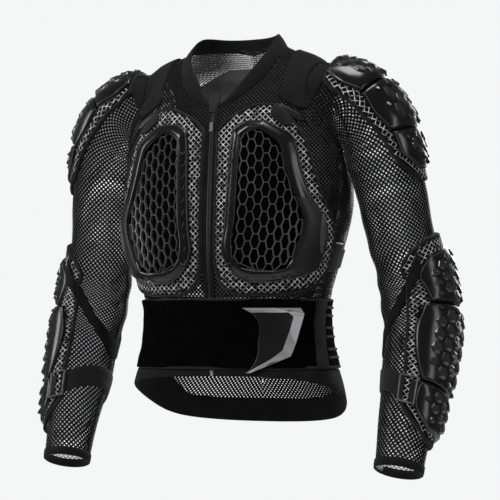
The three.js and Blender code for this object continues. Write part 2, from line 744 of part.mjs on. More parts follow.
// The room that a pad or buckle takes, a little wider and higher than it, to cut what lies over it
function roomOf(surface, rows, key, rise, columns) {
  const [turn, share] = surface.steps.map((step) => step * ROOM_STEPS);
  const last = rows.length - 1;
  const falling = Math.sign(rows[0][key] - rows[last][key]);
  const ends = rows.map((row, i) => (i === 0 ? falling : 0) - (i === last ? falling : 0));
  const wide = rows.map((row, i) => (
    { [key]: row[key] + share * ends[i], from: row.from - turn, to: row.to + turn }));
  return slab(surface, spread(wide, key, columns), -REACH - 1, rise + CLEARANCE);
}

// The chest window's edges, drawn in by a margin
function windowEdges(margin) {
  const turn = THREE.MathUtils.radToDeg(margin / (CHEST_WIDTH / 2));
  const rows = CHEST_SHELL_ROWS.map(({ windowHeight, windowFrom, windowTo }) => (
    { height: windowHeight, from: windowFrom + turn, to: windowTo - turn }));
  rows[0].height -= margin / BODY_LENGTH;
  rows[rows.length - 1].height += margin / BODY_LENGTH;
  return rows;
}

// A table's outline as one loop of [u, v] corners, down its from side and up its to side
function loopOf(rows) {
  return [...rows.map((row) => [row.from, row.height]), ...rows.map((row) => [row.to, row.height]).reverse()];
}

// Between which angles a table of rows lies at a height, or nothing above and below it
function spanAt(rows, height) {
  const next = rows.findIndex((row) => row.height < height);
  if (next < 1) return null;
  const [upper, lower] = [rows[next - 1], rows[next]];
  const share = (upper.height - height) / (upper.height - lower.height);
  return [upper.from + (lower.from - upper.from) * share, upper.to + (lower.to - upper.to) * share];
}

// Six-sided cells in columns half a cell apart, held inside the window's rim
function cellOutlines() {
  const rim = windowEdges(CELL_WALL);
  const top = rim[0].height - CELL_RIM;
  const bottom = rim[rim.length - 1].height + CELL_RIM;
  const pitch = THREE.MathUtils.radToDeg(CELL_PITCH / (CHEST_WIDTH / 2));
  const rowPitch = CELL_HEIGHT / BODY_LENGTH;
  const halfHeight = (CELL_HEIGHT - CELL_WALL) / 2 / BODY_LENGTH;
  const halfWidth = pitch * (2 / 3) * (1 - CELL_WALL / CELL_PITCH);
  const corners = [[-1, 0], [-0.5, 1], [0.5, 1], [1, 0], [0.5, -1], [-0.5, -1]];
  const held = ([u, v]) => {
    const height = THREE.MathUtils.clamp(v, bottom, top);
    const [from, to] = spanAt(rim, height);
    return [THREE.MathUtils.clamp(u, from, to), height];
  };
  const cells = [];
  const columns = Math.ceil((Math.max(...column(rim, 'to')) - CELLS_FROM) / pitch);
  for (let col = 0; col <= columns; col += 1) {
    const angle = CELLS_FROM + col * pitch;
    for (let height = top - (col % 2) * rowPitch / 2 - col * CELL_LEAN; height > bottom; height -= rowPitch) {
      const span = spanAt(rim, height);
      const room = span && Math.min(angle - span[0], span[1] - angle);
      if (room > 0) {
        const outline = corners.map(([u, v]) => held([angle + u * halfWidth, height + v * halfHeight]));
        cells.push(tidied(outline));
      }
    }
  }
  return cells.filter((cell) => openEnough(cell, CELL_LEAST * halfWidth * halfHeight));
}

// An outline without doubled corners and without corners on a straight line
function tidied(outline) {
  const apart = outline.filter(([u, v], i) => {
    const [nextU, nextV] = outline[(i + 1) % outline.length];
    return Math.abs(u - nextU) > LEAST_STEP.turn || Math.abs(v - nextV) > LEAST_STEP.share;
  });
  return apart.filter(([u, v], i) => {
    const [lastU, lastV] = apart.at(i - 1);
    const [nextU, nextV] = apart[(i + 1) % apart.length];
    const bend = Math.abs((u - lastU) * (nextV - v) - (nextU - u) * (v - lastV));
    return bend > LEAST_STEP.turn * LEAST_STEP.share;
  });
}

function openEnough(outline, least) {
  const area = THREE.ShapeUtils.area(outline.map(([u, v]) => new THREE.Vector2(u, v)));
  return Math.abs(area) > least;
}

// A pierced sheet that follows a surface: an outline with holes, given as [u, v] corners
function pierced(surface, outline, holes, low, high) {
  const loops = [outline, ...holes].map((loop) => loop.map(([u, v]) => new THREE.Vector2(u, v)));
  loops.forEach((loop, i) => {
    if (THREE.ShapeUtils.isClockWise(loop) !== (i > 0)) loop.reverse();
  });
  const faces = THREE.ShapeUtils.triangulateShape(loops[0], loops.slice(1));
  const flat = loops.flat();
  const points = [low, high].flatMap((lift) => flat.map(({ x, y }) => raised(surface, x, y, lift)));
  const under = faces.map(([a, b, c]) => [a, c, b]);
  const triangles = [...under, ...faces.map((face) => face.map((i) => i + flat.length))];
  let start = 0;
  for (const loop of loops) {
    for (let i = 0; i < loop.length; i += 1) {
      const [a, b] = [start + i, start + (i + 1) % loop.length];
      triangles.push([a, b, b + flat.length], [a, b + flat.length, a + flat.length]);
    }
    start += loop.length;
  }
  return closed(points, triangles);
}

function addChest() {
  const seat = CHEST_PAD_RISE + FACET_CLEARANCE;
  const inner = loopOf(windowEdges(0));
  const outer = loopOf(CHEST_SHELL_ROWS);
  const between = inner.map(([u, v], i) => [(u + outer[i][0]) / 2, (v + outer[i][1]) / 2]);
  for (const [name, side] of SIDES) {
    const surface = bodySurface(side);
    const pad = seated(surface, spread(CHEST_PAD_ROWS, 'height', CHEST_COLUMNS), CHEST_PAD_RISE);
    add(`${name}_chest_pad`, pad, 'pad');
    add(`${name}_chest_shell`, slab(surface, [inner, between, outer], seat, CHEST_SHELL_RISE, true), 'shell');
    const grille = pierced(surface, loopOf(windowEdges(CLEARANCE)), cellOutlines(), seat, HONEYCOMB_RISE);
    add(`${name}_honeycomb`, grille, 'plastic');
  }
}

// The room that a pad on the sleeve takes
function limbRoom(side, rows) {
  return roomOf(sleeveSurface(side), rows, 'along', LIMB_PAD_RISE, columnsFor(rows));
}

// Hard plates on a pad that follows the sleeve
function addLimbArmour(piece, padRows, plates) {
  for (const [name, side] of SIDES) {
    const surface = sleeveSurface(side);
    const pad = seated(surface, spread(padRows, 'along', columnsFor(padRows)), LIMB_PAD_RISE);
    add(`${name}_${piece}_pad`, pad, 'pad');
    plates.forEach(({ seat, rows }, i) => {
      const grid = spread(rows, 'along', columnsFor(rows));
      add(`${name}_${piece}_plate_${i + 1}`, slab(surface, grid, LIMB_PAD_RISE + seat, LIMB_PLATE_RISE), 'shell');
    });
  }
}

function addBack() {
  const surface = bodySurface(LEFT);
  add('back_pad', seated(surface, spread(BACK_PAD_ROWS, 'height', CHEST_COLUMNS), BACK_PAD_RISE), 'pad');
  const shellGrid = spread(BACK_SHELL_ROWS, 'height', CHEST_COLUMNS);
  add('back_shell', slab(surface, shellGrid, BACK_PAD_RISE + FACET_CLEARANCE, BACK_SHELL_RISE), 'shell');
}

// The strap over each shoulder, the panel beside it, its buckle and the tab that ties the chest pad to it
function addShoulderStraps() {
  const backRoom = roomOf(bodySurface(LEFT), BACK_PAD_ROWS, 'height', BACK_PAD_RISE, CHEST_COLUMNS);
  for (const [name, side] of SIDES) {
    const over = shoulderSurface(side);
    const chest = bodySurface(side);
    const limb = limbRoom(side, SHOULDER_PAD_ROWS);
    const chestRoom = roomOf(chest, CHEST_PAD_ROWS, 'height', CHEST_PAD_RISE, CHEST_COLUMNS);
    const strapRoom = roomOf(over, SHOULDER_STRAP_ROWS, 'turn', STRAP_RISE, 1);
    const buckleRise = BUCKLE_RISE + STRAP_RISE;
    const buckleRoom = roomOf(chest, SHOULDER_BUCKLE_ROWS, 'height', buckleRise, 1);
    const tabRise = CHEST_PAD_RISE + CLEARANCE + TAB_RISE;
    const strap = seated(over, spread(SHOULDER_STRAP_ROWS, 'turn', 1), STRAP_RISE, [limb, backRoom]);
    const yoke = seated(over, spread(SHOULDER_YOKE_ROWS, 'turn', 1), STRAP_RISE, [limb, strapRoom]);
    const buckleGrid = spread(SHOULDER_BUCKLE_ROWS, 'height', 1);
    const buckle = seated(chest, buckleGrid, buckleRise, [limb, chestRoom, strapRoom]);
    const tabGrid = spread(CHEST_TAB_ROWS, 'height', 1);
    const tab = seated(chest, tabGrid, tabRise, [chestRoom, buckleRoom, strapRoom]);
    add(`${name}_shoulder_strap`, strap, 'stretch');
    add(`${name}_shoulder_yoke`, yoke, 'stretch');
    add(`${name}_shoulder_buckle`, buckle, 'plastic');
    add(`${name}_chest_tab`, tab, 'webbing');
  }
}

// Straps that run round the inner side of the arm from one edge of the forearm pad to the other
function addSleeveStraps() {
  const wrap = ({ middle, tilt, from, to }, width, wave) => {
    const half = width / 2 / SLEEVE_LENGTH;
    const centre = (angle) => middle + tilt * wave(THREE.MathUtils.degToRad(angle));
    const columns = Math.ceil((to - from) / WIDEST_FACET);
    return strip((angle) => centre(angle) - half, (angle) => centre(angle) + half, from, to, columns);
  };
  const elbowGrid = wrap(ELBOW_STRAP, ELBOW_STRAP_WIDTH, (angle) => -Math.cos(angle));
  const forearmGrid = wrap(FOREARM_STRAP, FOREARM_STRAP_WIDTH, Math.sin);
  const low = CLEARANCE + SLEEVE_BEND_CLEARANCE + sag(SLEEVE_WIDTH / 2, WIDEST_FACET);
  const high = low + STRAP_RISE;
  const seat = LIMB_PAD_RISE + BUCKLE_SEAT;
  for (const [name, side] of SIDES) {
    const surface = sleeveSurface(side);
    const padRoom = limbRoom(side, FOREARM_PAD_ROWS);
    add(`${name}_elbow_strap`, slab(surface, elbowGrid, low, high).subtract(padRoom), 'webbing');
    add(`${name}_forearm_strap`, slab(surface, forearmGrid, low, high).subtract(padRoom), 'webbing');
    const frame = slab(surface, spread(FOREARM_BUCKLE_ROWS, 'along', 1), seat, seat + BUCKLE_RISE);
    const eye = slab(surface, spread(BUCKLE_EYE_ROWS, 'along', 1), 0, seat + BUCKLE_RISE + REACH);
    add(`${name}_forearm_buckle`, frame.subtract(eye), 'plastic');
  }
}

// The placket strips, the zip's chain between them, its slider, flap and bottom stop
function addFastening() {
  const surface = bodySurface(LEFT);
  const turnOf = (width) => THREE.MathUtils.radToDeg(width / (CHEST_WIDTH / 2));
  const inner = turnOf(ZIP_GAP / 2 + CLEARANCE);
  const outer = turnOf(ZIP_GAP / 2 + PLACKET_WIDTH);
  const line = (from, to, top, bottom, steps) => Array.from({ length: steps + 1 }, (_, i) => (
    [from, to].map((u) => [u, top + (bottom - top) * i / steps])));
  const placketGrid = line(inner, outer, PLACKET_TOP, BELT_TOP + ZIP_REACH, PLACKET_STEPS);
  for (const [name, side] of SIDES) {
    const placket = slab(bodySurface(side), placketGrid, FACET_CLEARANCE, FACET_CLEARANCE + PLACKET_RISE);
    add(`${name}_placket`, placket, 'stretch');
  }
  const half = turnOf(ZIP_GAP / 2 - CLEARANCE);
  const chain = line(-half, half, ZIP_TOP, ZIP_BOTTOM, ZIP_STEPS);
  const roomGrid = line(-inner, inner, ZIP_TOP, ZIP_BOTTOM, ZIP_STEPS);
  const chainRoom = slab(surface, roomGrid, -REACH, ZIP_CHAIN_RISE + CLEARANCE);
  add('zip_chain', slab(surface, chain, -CLOTH, ZIP_CHAIN_RISE), 'plastic');
  const stopLength = ZIP_STOP_LENGTH / BODY_LENGTH;
  const stopTop = ZIP_BOTTOM - CLEARANCE / BODY_LENGTH;
  const stop = line(-half, half, stopTop, stopTop - stopLength, 1);
  add('zip_stop', slab(surface, stop, -CLOTH, ZIP_CHAIN_RISE), 'silver');
  const sliderTop = ZIP_TOP - 2 * stopLength;
  const slider = line(-half, half, sliderTop, sliderTop - SLIDER_LENGTH / BODY_LENGTH, 1);
  add('zip_slider', slab(surface, slider, -CLOTH, SLIDER_RISE).subtract(chainRoom), 'plastic');
  add('zip_garage', seated(surface, spread(GARAGE_ROWS, 'height', 1), GARAGE_RISE), 'flap');
}

// A strip round the body between two heights, with its columns on the body's own sides
function level(top, bottom, from, to) {
  return strip(() => top, () => bottom, from, to, Math.round((to - from) * BODY_SIDES / FULL_TURN), 2);
}

// The kidney belt: round the back and sides, with a flap closed across the front under the badge
function addBelt() {
  const surface = bodySurface(LEFT);
  const gap = THREE.MathUtils.radToDeg(SEAM_GAP / (CHEST_WIDTH / 2));
  const beltGrid = level(BELT_TOP, BELT_BOTTOM, BELT_FLAP_TO + gap, FULL_TURN + BELT_FLAP_FROM - gap);
  const flapGrid = level(BELT_TOP, BELT_BOTTOM, BELT_FLAP_FROM, BELT_FLAP_TO);
  add('kidney_belt', slab(surface, beltGrid, FACET_CLEARANCE, BELT_RISE), 'velour');
  add('belt_flap', slab(surface, flapGrid, FACET_CLEARANCE, BELT_RISE), 'velour');
  const below = BELT_BOTTOM - SEAM_GAP / BODY_LENGTH;
  const beltRoom = slab(surface, level(BELT_TOP, below, 0, 90), 0, BELT_RISE + CLEARANCE);
  const badgeGrid = spread(BADGE_ROWS, 'height', 2);
  const onHem = FACET_CLEARANCE + BINDING_RISE + CLEARANCE;
  const face = BELT_RISE + FACET_CLEARANCE + BADGE_BASE_RISE;
  add('badge_base', slab(surface, badgeGrid, onHem, face).subtract(beltRoom), 'plastic');
  const inlay = slab(surface, spread(BADGE_FACE_ROWS, 'height', 2), 0, face + REACH);
  const trim = slab(surface, badgeGrid, face + CLEARANCE, face + CLEARANCE + BADGE_TRIM_RISE);
  add('badge_trim', trim.subtract(inlay), 'silver');
}

// The short straps at the waist that run from a ladder buckle towards the back
function addSideStraps() {
  const band = ({ top, bottom, from, to }, columns) => strip(() => top, () => bottom, from, to, columns);
  for (const [name, side] of SIDES) {
    const surface = bodySurface(side);
    const strap = seated(surface, band(SIDE_STRAP, 3), STRAP_RISE);
    const buckle = seated(surface, band(SIDE_BUCKLE, 1), BUCKLE_RISE);
    add(`${name}_side_strap`, strap.add(buckle), 'webbing');
  }
}

function addHem() {
  const surface = bodySurface(LEFT);
  const lower = (angle) => hemHeight(surface.at(angle, HEM_LINE[3].height).y) / BODY_LENGTH;
  const highest = BELT_BOTTOM - SEAM_GAP / BODY_LENGTH;
  const upper = (angle) => Math.min(lower(angle) + HEM_BAND_WIDTH / BODY_LENGTH, highest);
  const slit = THREE.MathUtils.radToDeg(ZIP_GAP / 2 / (CHEST_WIDTH / 2));
  const grid = strip(upper, lower, slit, FULL_TURN - slit, BODY_SIDES);
  add('hem_band', slab(surface, grid, FACET_CLEARANCE, FACET_CLEARANCE + BINDING_RISE), 'stretch');
}

addBody();
addSleeves();
addCollar();
addChest();
addLimbArmour('shoulder', SHOULDER_PAD_ROWS, SHOULDER_PLATES);
addLimbArmour('forearm', FOREARM_PAD_ROWS, FOREARM_PLATES);
addBack();
addShoulderStraps();
addSleeveStraps();
addFastening();
addBelt();
addSideStraps();
addHem();

export default part;
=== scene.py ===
import math

import bpy
import numpy as np
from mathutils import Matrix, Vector


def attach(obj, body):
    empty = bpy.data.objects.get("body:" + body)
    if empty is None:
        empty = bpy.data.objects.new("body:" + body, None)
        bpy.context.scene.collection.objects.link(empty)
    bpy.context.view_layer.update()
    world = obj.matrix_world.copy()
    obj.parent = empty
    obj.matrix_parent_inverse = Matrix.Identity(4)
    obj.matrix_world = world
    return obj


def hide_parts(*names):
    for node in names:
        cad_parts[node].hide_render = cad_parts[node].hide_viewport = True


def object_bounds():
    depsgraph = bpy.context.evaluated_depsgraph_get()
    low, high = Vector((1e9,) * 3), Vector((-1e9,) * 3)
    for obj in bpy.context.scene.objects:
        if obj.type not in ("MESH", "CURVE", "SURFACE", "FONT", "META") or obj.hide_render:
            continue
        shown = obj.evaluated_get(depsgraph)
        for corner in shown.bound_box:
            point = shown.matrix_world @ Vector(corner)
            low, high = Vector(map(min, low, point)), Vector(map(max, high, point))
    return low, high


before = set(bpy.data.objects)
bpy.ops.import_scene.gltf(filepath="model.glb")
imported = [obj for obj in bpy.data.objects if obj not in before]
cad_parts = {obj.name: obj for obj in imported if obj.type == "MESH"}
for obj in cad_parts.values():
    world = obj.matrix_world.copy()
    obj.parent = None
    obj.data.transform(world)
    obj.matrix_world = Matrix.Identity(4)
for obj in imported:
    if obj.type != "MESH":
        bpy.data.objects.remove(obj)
cad_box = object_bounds()

# Driving sizes, in millimetres, as in the part's source
MM = 0.001
CHEST_WIDTH = 402
CHEST_DEPTH = 240
BODY_LENGTH = 620
SLEEVE_DROP = 614
SLEEVE_WIDTH = 124
SHOULDER_SEAT = 68
ROUNDNESS = 2.35
NECK_WIDTH, NECK_DEPTH, NECK_MIDDLE = 182, 176, -6
COLLAR_TOP_WIDTH, COLLAR_TOP_DEPTH = 146, 170

# Sections of the body: height in body lengths, half width in chest widths, then front, back and side
# in chest depths
BODY_ROWS = np.array([
    (-1.065, 0.478, -0.467, 0.55, 0.042),
    (-0.871, 0.443, -0.442, 0.525, 0.05),
    (-0.79, 0.41, -0.438, 0.508, 0.05),
    (-0.71, 0.393, -0.446, 0.496, 0.046),
    (-0.637, 0.403, -0.471, 0.496, 0.042),
    (-0.565, 0.435, -0.496, 0.504, 0.033),
    (-0.468, 0.478, -0.5, 0.521, 0.033),
    (-0.363, 0.5, -0.483, 0.533, 0.042),
    (-0.25, 0.489, -0.455, 0.545, 0.05),
    (-0.177, 0.475, -0.425, 0.525, 0.058),
    (-0.113, 0.458, -0.358, 0.487, 0.062),
    (-0.068, 0.443, -0.283, 0.454, 0.067),
    (-0.013, 0.391, -0.179, 0.4, 0.075),
    (0.006, 0.351, -0.133, 0.379, 0.075),
    (0.034, 0.249, -0.046, 0.354, 0.083),
    (0.068, 0.149, 0.05, 0.329, 0.1),
]) * (BODY_LENGTH, CHEST_WIDTH, CHEST_DEPTH, CHEST_DEPTH, CHEST_DEPTH)

# The sleeve's middle line: out, back and drop, and its half sizes across and front to back
SLEEVE_ROWS = np.array([
    (0.274, 0.05, 0, 0.468, 0.5),
    (0.398, 0.05, 0.003, 0.5, 0.532),
    (0.51, 0.058, 0.026, 0.508, 0.532),
    (0.592, 0.075, 0.091, 0.5, 0.516),
    (0.637, 0.1, 0.191, 0.468, 0.492),
    (0.699, 0.208, 0.407, 0.452, 0.476),
    (0.736, 0.258, 0.516, 0.468, 0.484),
    (0.759, 0.225, 0.622, 0.46, 0.484),
    (0.759, 0.108, 0.736, 0.427, 0.452),
    (0.744, -0.142, 0.945, 0.323, 0.339),
    (0.739, -0.196, 1, 0.306, 0.323),
]) * (CHEST_WIDTH, CHEST_DEPTH, -SLEEVE_DROP, SLEEVE_WIDTH, SLEEVE_WIDTH)
SLEEVE_ROWS[:, 2] -= SHOULDER_SEAT

# The hem and the collar's upper edge from the side: place in chest depths, height in body lengths
HEM_LINE = np.array([
    (-0.56, -0.852), (-0.46, -0.856), (-0.33, -0.864), (-0.08, -0.892),
    (0.19, -0.935), (0.38, -0.976), (0.6, -1.003),
]) * (CHEST_DEPTH, BODY_LENGTH)
COLLAR_LINE = np.array([
    (-0.4, -0.106), (-0.17, 0.008), (0.04, 0.074), (0.34, 0.092),
]) * (CHEST_DEPTH, BODY_LENGTH)

# Outlines on the body: height in body lengths, from and to in degrees from the front
CHEST_PAD = [
    (-0.142, 23, 32), (-0.166, 13, 37), (-0.205, 4.2, 43.4), (-0.26, 3.4, 48.5), (-0.322, 3.2, 51.5),
    (-0.38, 3.2, 56.3), (-0.472, 3.4, 70), (-0.54, 3.6, 73.5), (-0.578, 4.4, 72.5), (-0.61, 7, 66),
    (-0.634, 13, 50), (-0.646, 21, 35),
]
CHEST_SHELL = [
    (-0.19, 18, 27), (-0.205, 12.5, 32), (-0.225, 11.5, 39), (-0.26, 10.6, 42), (-0.315, 10, 43.8),
    (-0.38, 9.5, 48.5), (-0.468, 9, 62), (-0.548, 9.2, 62.5), (-0.577, 13, 59.5), (-0.597, 17.5, 46),
    (-0.611, 23, 30),
]
CHEST_WINDOW = [
    (-0.215, 19.5, 24.5), (-0.228, 16.5, 28), (-0.253, 15.8, 33), (-0.28, 15.4, 34.5), (-0.325, 15, 36.3),
    (-0.385, 14.6, 40.2), (-0.45, 14.5, 46), (-0.52, 14, 44.6), (-0.56, 17, 42.4), (-0.573, 21, 40),
    (-0.578, 26, 36),
]
BACK_PAD = [
    (0.008, 162, 198), (-0.03, 146, 214), (-0.1, 138, 222), (-0.3, 136, 224), (-0.48, 138, 222),
    (-0.6, 142, 218), (-0.64, 144, 216),
]
BACK_SHELL = [
    (-0.05, 160, 200), (-0.1, 152, 208), (-0.3, 149, 211), (-0.48, 152, 208), (-0.58, 156, 204),
    (-0.61, 160, 200),
]
CHEST_TAB = [(-0.148, 31, 32.4), (-0.172, 29.5, 36.8), (-0.206, 36, 41.5)]
SHOULDER_BUCKLE = [(-0.142, 33, 35), (-0.158, 34.5, 40.5), (-0.172, 38, 45.5), (-0.188, 43, 47)]
SHELL_FACET = [(-0.53, 60, 61.5), (-0.48, 56, 61.2), (-0.43, 56.5, 57.5)]
SIDE_STRAP = [(-0.566, 88, 134), (-0.516, 88, 134)]
SIDE_BUCKLE = [(-0.58, 76, 89.5), (-0.502, 76, 89.5)]
BADGE = [
    (-0.676, 20, 53.5), (-0.69, 24.4, 56), (-0.7, 26.3, 55.5), (-0.774, 27.2, 48.5), (-0.806, 26, 44.5),
    (-0.825, 23.8, 34.3), (-0.848, 20, 22),
]

# Outlines on the sleeve: share of its length, from and to in degrees from the outer side to the front
SHOULDER_PAD = [
    (0.078, -60, 60), (0.115, -75, 75), (0.17, -79, 79), (0.243, -66, 66), (0.3, -46, 46), (0.339, -12, 12),
]
SHOULDER_PLATES = [
    [(0.082, -46, 46), (0.11, -61, 61), (0.144, -60, 60)],
    [(0.15, -61, 61), (0.19, -64, 64), (0.226, -55, 55)],
    [(0.232, -53, 53), (0.282, -41, 41), (0.313, -15, 15)],
]
FOREARM_PAD = [
    (0.462, -46, 28), (0.482, -80, 64), (0.56, -100, 84), (0.68, -106, 93), (0.797, -104, 89),
    (0.89, -92, 76), (0.932, -40, 24),
]
FOREARM_PLATES = [
    [(0.5, -50, 38), (0.522, -71, 57), (0.59, -76, 61), (0.619, -70, 56)],
    [(0.626, -78, 66), (0.69, -92, 79), (0.774, -86, 71), (0.811, -76, 61)],
    [(0.818, -76, 61), (0.838, -80, 65), (0.886, -72, 57), (0.911, -45, 30)],
]

# Outlines over the shoulder: degrees from forward over the top, from and to in chest widths
SHOULDER_STRAP = [
    (11, 0.34, 0.362), (21, 0.272, 0.365), (40, 0.27, 0.366), (60, 0.27, 0.37), (80, 0.271, 0.38),
    (105, 0.271, 0.38), (130, 0.26, 0.372), (150, 0.24, 0.36), (165, 0.23, 0.34),
]
SHOULDER_YOKE = [
    (12, 0.366, 0.371), (30, 0.368, 0.403), (48, 0.37, 0.433), (56, 0.372, 0.441), (68, 0.396, 0.446),
]
SHOULDER_CENTRE = (0.042 * CHEST_DEPTH, -0.177 * BODY_LENGTH)

BELT_TOP, BELT_BOTTOM = -0.652 * BODY_LENGTH, -0.838 * BODY_LENGTH
BELT_FLAP_FROM, BELT_FLAP_TO = -90, 54
SIDE_SEAM = SHOULDER_CENTRE[0]

# Heights over the cloth
PAD_RISE = 8
SHELL_RISE = 18
LIMB_RISE = 8
PLATE_RISE = 13.5
BACK_RISE = 9
BACK_SHELL_RISE = 15
BELT_RISE = 4.2
STRAP_RISE = 2.6
CLOTH_LIFT = 0.4
SCALLOP_LIFT = 16.2
STUD_TOP = {"shoulder": 3.4, "forearm": 4.0}

# The mesh cloth and the thread net on the pads
MESH_PITCH = 4.9
SLEEVE_PITCH = 5.6
MESH_HOLE = 0.5
SLEEVE_HOLE_BEHIND = 0.56
BACK_HOLE = 0.74
HEM_HOLE = 0.42
YOKE_HEIGHT = -0.03 * BODY_LENGTH
MESH_DEPTH = 1.5
NET_PITCH = 6.8
NET_HOLE = 0.83
BODY_SPAN = (-640, 42)

# How far the mesh runs on under a pad or the belt, how far from the zip and the hem it ends, and the hem band
HIDDEN = 12
ZIP_HALF = 4.5
HEM_LAP = 6
HEM_BAND = 40

# Pads: their rounded edge and filling. Plates: how far they lap and the share of the border without studs
PAD_EDGE = 6
PLATE_LAP = 1.5
FRONT_BORDER = {"shoulder": 0.12, "forearm": 0.07}
STUD_SKIRT = 4
LIMB_ARMOUR = (
    ("shoulder", SHOULDER_PAD, SHOULDER_PLATES, ((15, 17), (14, 22), (11, 20))),
    ("forearm", FOREARM_PAD, FOREARM_PLATES, ((17, 21), (18, 24), (15, 19))),
)

# Six-sided cells and studs, and the zip
HEXAGON = ((2 / 3, 0), (1 / 3, 0.5), (-1 / 3, 0.5), (-2 / 3, 0), (-1 / 3, -0.5), (1 / 3, -0.5))
CELL_PITCH = (11.8, 23.5)
ZIP_Z = (-0.842 * BODY_LENGTH, -0.165 * BODY_LENGTH)
ZIP_TEETH = 230

# Places along the sleeves' heads, and the fineness of the searches for an edge
SLEEVE_HEAD = np.linspace(0, 260, 53)
HALVINGS = 24
TINY = 1e-12

# The picture: lamps inside the jacket, world, floor and camera, in metres
GLOW = 0.06
PAPER = (0.915, 0.919, 0.922)
STUDIO_LIGHT = 0.14
FLOOR_DROP = 0.2
FLOOR_RADIUS = 0.85
CAMERA_AZIMUTH = math.radians(22)
CAMERA_DISTANCE = 2.53
CAMERA_HEIGHT = -0.4607
CAMERA_LENS = 107.1
CAMERA_TURN = math.radians(0.54)
CAMERA_PITCH = math.radians(3.19)


def curve(stations, values, place):
    """Smooth curve through a table's column at uneven stations"""
    stations = np.asarray(stations, float)
    values = np.asarray(values, float)
    if stations[0] > stations[-1]:
        stations, values = stations[::-1], values[::-1]
    place = np.clip(place, stations[0], stations[-1])
    i = np.clip(np.searchsorted(stations, place, side="right") - 1, 0, len(stations) - 2)
    slopes = np.gradient(values, stations)
    span = stations[i + 1] - stations[i]
    t = (place - stations[i]) / span
    ease = t * t * (3 - 2 * t)
    swing = t * (1 - t) * ((1 - t) * slopes[i] - t * slopes[i + 1]) * span
    return values[i] * (1 - ease) + values[i + 1] * ease + swing


def step(low, high, value):
    t = np.clip((value - low) / (high - low), 0, 1)
    return t * t * (3 - 2 * t)


def unit(vectors):
    return vectors / (np.linalg.norm(vectors, axis=-1, keepdims=True) + TINY)


def pairs(across, along):
    """Two arrays spread over each other, as the (across, along) places of cloth"""
    return np.stack(np.broadcast_arrays(across, along), -1)


def lengths_along(points):
    return np.concatenate([[0], np.cumsum(np.linalg.norm(np.diff(points, axis=0), axis=-1))])


def bisected(low, high, inside):
    """The two sides of the places where a test along spans stops to hold"""
    for _ in range(HALVINGS):
        middle = (low + high) / 2
        holds = inside(middle)
        low, high = np.where(holds, middle, low), np.where(holds, high, middle)
    return low, high


def body_section(z):
    heights = BODY_ROWS[:, 0]
    half, front, back, side = (curve(heights, BODY_ROWS[:, k], z) for k in (1, 2, 3, 4))
    return half, side, side - front, back - side


def body_point(degrees, z):
    degrees, z = np.broadcast_arrays(np.asarray(degrees, float), np.asarray(z, float))
    half, side, front, back = body_section(z)
    across, forward = np.sin(np.radians(degrees)), np.cos(np.radians(degrees))
    size = (np.abs(across) ** ROUNDNESS + np.abs(forward) ** ROUNDNESS) ** (1 / ROUNDNESS)
    depth = np.where(forward > 0, front, back)
    return np.stack([half * across / size, side - depth * forward / size, z], -1)


def inside_body(points):
    half, side, front, back = body_section(points[..., 2])
    depth = np.where(points[..., 1] < side, front, back)
    across = np.abs(points[..., 0] / half) ** ROUNDNESS
    return across + np.abs((points[..., 1] - side) / depth) ** ROUNDNESS < 1


def reach_out(start, direction):
    """Where straight lines from points inside the body leave it and the head of the sleeve"""
    def inside(reach):
        points = start + direction * reach[..., None]
        return inside_body(points) | inside_sleeve(points)

    far = np.full(start.shape[:-1], 0.6 * CHEST_WIDTH)
    return start + direction * bisected(0 * far, far, inside)[0][..., None]


SLEEVE_REACH = lengths_along(SLEEVE_ROWS[:, :3])
SLEEVE_LENGTH = SLEEVE_REACH[-1]


def sleeve_middle(reach):
    return np.stack([curve(SLEEVE_REACH, SLEEVE_ROWS[:, k], reach) for k in (0, 1, 2)], -1)


def sleeve_frame(reach):
    """The sleeve's middle line, the directions to its outer side and its front, and its half sizes"""
    near = np.clip(reach, 1, SLEEVE_LENGTH - 1)
    along = unit(sleeve_middle(near + 1) - sleeve_middle(near - 1))
    outer = unit(np.array([1.0, 0, 0]) - along * along[..., :1])
    wide, deep = (curve(SLEEVE_REACH, SLEEVE_ROWS[:, k], reach) for k in (3, 4))
    return sleeve_middle(reach), outer, np.cross(along, outer), wide, deep


def sleeve_point(degrees, reach):
    degrees, reach = np.broadcast_arrays(np.asarray(degrees, float), np.asarray(reach, float))
    middle, outer, front, wide, deep = sleeve_frame(reach)
    turn = np.radians(degrees)
    return middle + (wide * np.cos(turn))[..., None] * outer + (deep * np.sin(turn))[..., None] * front


def inside_sleeve(points):
    """Whether points lie inside the head of either sleeve"""
    middle, outer, front, wide, deep = sleeve_frame(SLEEVE_HEAD)
    flat = np.abs(points.reshape(-1, 3) * (1, 0, 0)) + points.reshape(-1, 3) * (0, 1, 1)
    nearest = np.argmin(((flat[:, None] - middle[None]) ** 2).sum(-1), axis=1)
    away = flat - middle[nearest]
    x, y = (away * outer[nearest]).sum(-1), (away * front[nearest]).sum(-1)
    return ((x / wide[nearest]) ** 2 + (y / deep[nearest]) ** 2 < 1).reshape(points.shape[:-1])


